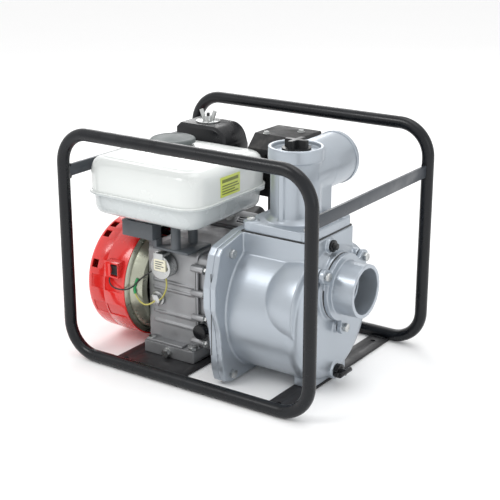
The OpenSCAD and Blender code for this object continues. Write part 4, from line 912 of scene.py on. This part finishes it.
def ellipsoid(centre, radii, name="ellipsoid"):
    bm = bmesh.new()
    bmesh.ops.create_uvsphere(bm, u_segments=96, v_segments=64, radius=1)
    for v in bm.verts:
        v.co = [centre[i] + radii[i] * v.co[i] for i in range(3)]
    return object_from(bm, name)


def build_pump():
    (x0, _), (y0, _), (z0, _) = ext("pump_casing")
    beyond, before = (BULGE_AT[0] + 2, 400), (-200, x0 + 2)
    bulge = fused([ellipsoid(BULGE_AT, BULGE_R)],
                  [box(beyond, (-300, 300), (0, 400)), box(before, (-300, 300), (0, 400)),
                   rod("x", x0 - 2, 189.5, BARREL_R - CASING_WALL + 0.5, suction_y, BARREL_Z, sides=128)])
    casing = cast([from_cad("pump_casing"), bulge], voxel=1.5, smooth=4, keep=0.35)
    finish(casing, "pump_casing", angle=60)

    _, (_, outlet_end), (ez0, _) = ext("discharge_elbow")
    plate_top = ez0 + 15
    parts = [from_cad("discharge_elbow")]
    for bx, by in elbow_bolts:
        parts.append(rod("z", ez0 + 0.5, plate_top + 1.5, 13, bx, by, 2))
    holes = [rod("z", ez0 - 1, plate_top + 3, 4.2, bx, by) for bx, by in elbow_bolts]
    elbow = cast(parts, holes, voxel=1.25, smooth=3, keep=0.35)
    finish(elbow, "discharge_elbow", angle=60)

    finish(cast([from_cad("suction_port")], voxel=1.0, smooth=3, keep=0.4), "suction_port", angle=60)
    finish(cast([from_cad("pump_bracket")], voxel=1.4, smooth=3, keep=0.35), "pump_bracket", angle=60)
    band = pipe("y", outlet_end - 8, outlet_end, 45.4, 43.6, outlet_x, outlet_z, 1.0, sides=96)
    piece(band, "outlet_band", "base", "pump_alu")
    outline = [(y0 + 3, z0 + 60), (y0 + 3, z0 + 200), (y0 + 4, z0 + 200), (y0 + 4, z0 + 60)]
    parting = prism("x", outline, x0 - 0.6, x0 + 0.4)
    piece(parting, "flange_gasket", "base", "rubber")


# ---- the rest of the CAD nodes ---------------------------------------------------------------

def paint_what_is_left():
    """Every CAD node that still shows gets its procedural material."""
    for node, obj in frame["nodes"].items():
        if not obj.hide_render:
            obj.data.materials.clear()
            obj.data.materials.append(MATERIALS[SLOT_LOOKS[SLOTS[node]]])


(dy0, dy1), (dz0, dz1) = ext("fan_housing")[1:]
drum_y, drum_z, drum_r = (dy0 + dy1) / 2, (dz0 + dz1) / 2, (dz1 - dz0) / 2
GROOVES = ((-1, 12), (-29, -16))
RIM_SLOTS = (22, 54, 67, 100, 118, 140, 230)
EDGE_R = 12
STARTER_SCREW_R = 78
bar_heights = bar_heights_from_cad()
tank_x = [ext("fuel_tank_upper")[0][0] + FLANGE_OUT, ext("fuel_tank_upper")[0][1] - FLANGE_OUT]
tank_y = [ext("fuel_tank_upper")[1][0] + FLANGE_OUT, ext("fuel_tank_upper")[1][1] - FLANGE_OUT]
level_nut = (-120, 104)
elbow_bolts = [(x, suction_y + y) for x in ELBOW_BOLT_X for y in (-ELBOW_BOLT_OUT, ELBOW_BOLT_OUT)]

build_frame()
build_tank()
build_cap()
build_covers()
build_engine()
build_leads()
build_top_details()
build_pump()
paint_what_is_left()
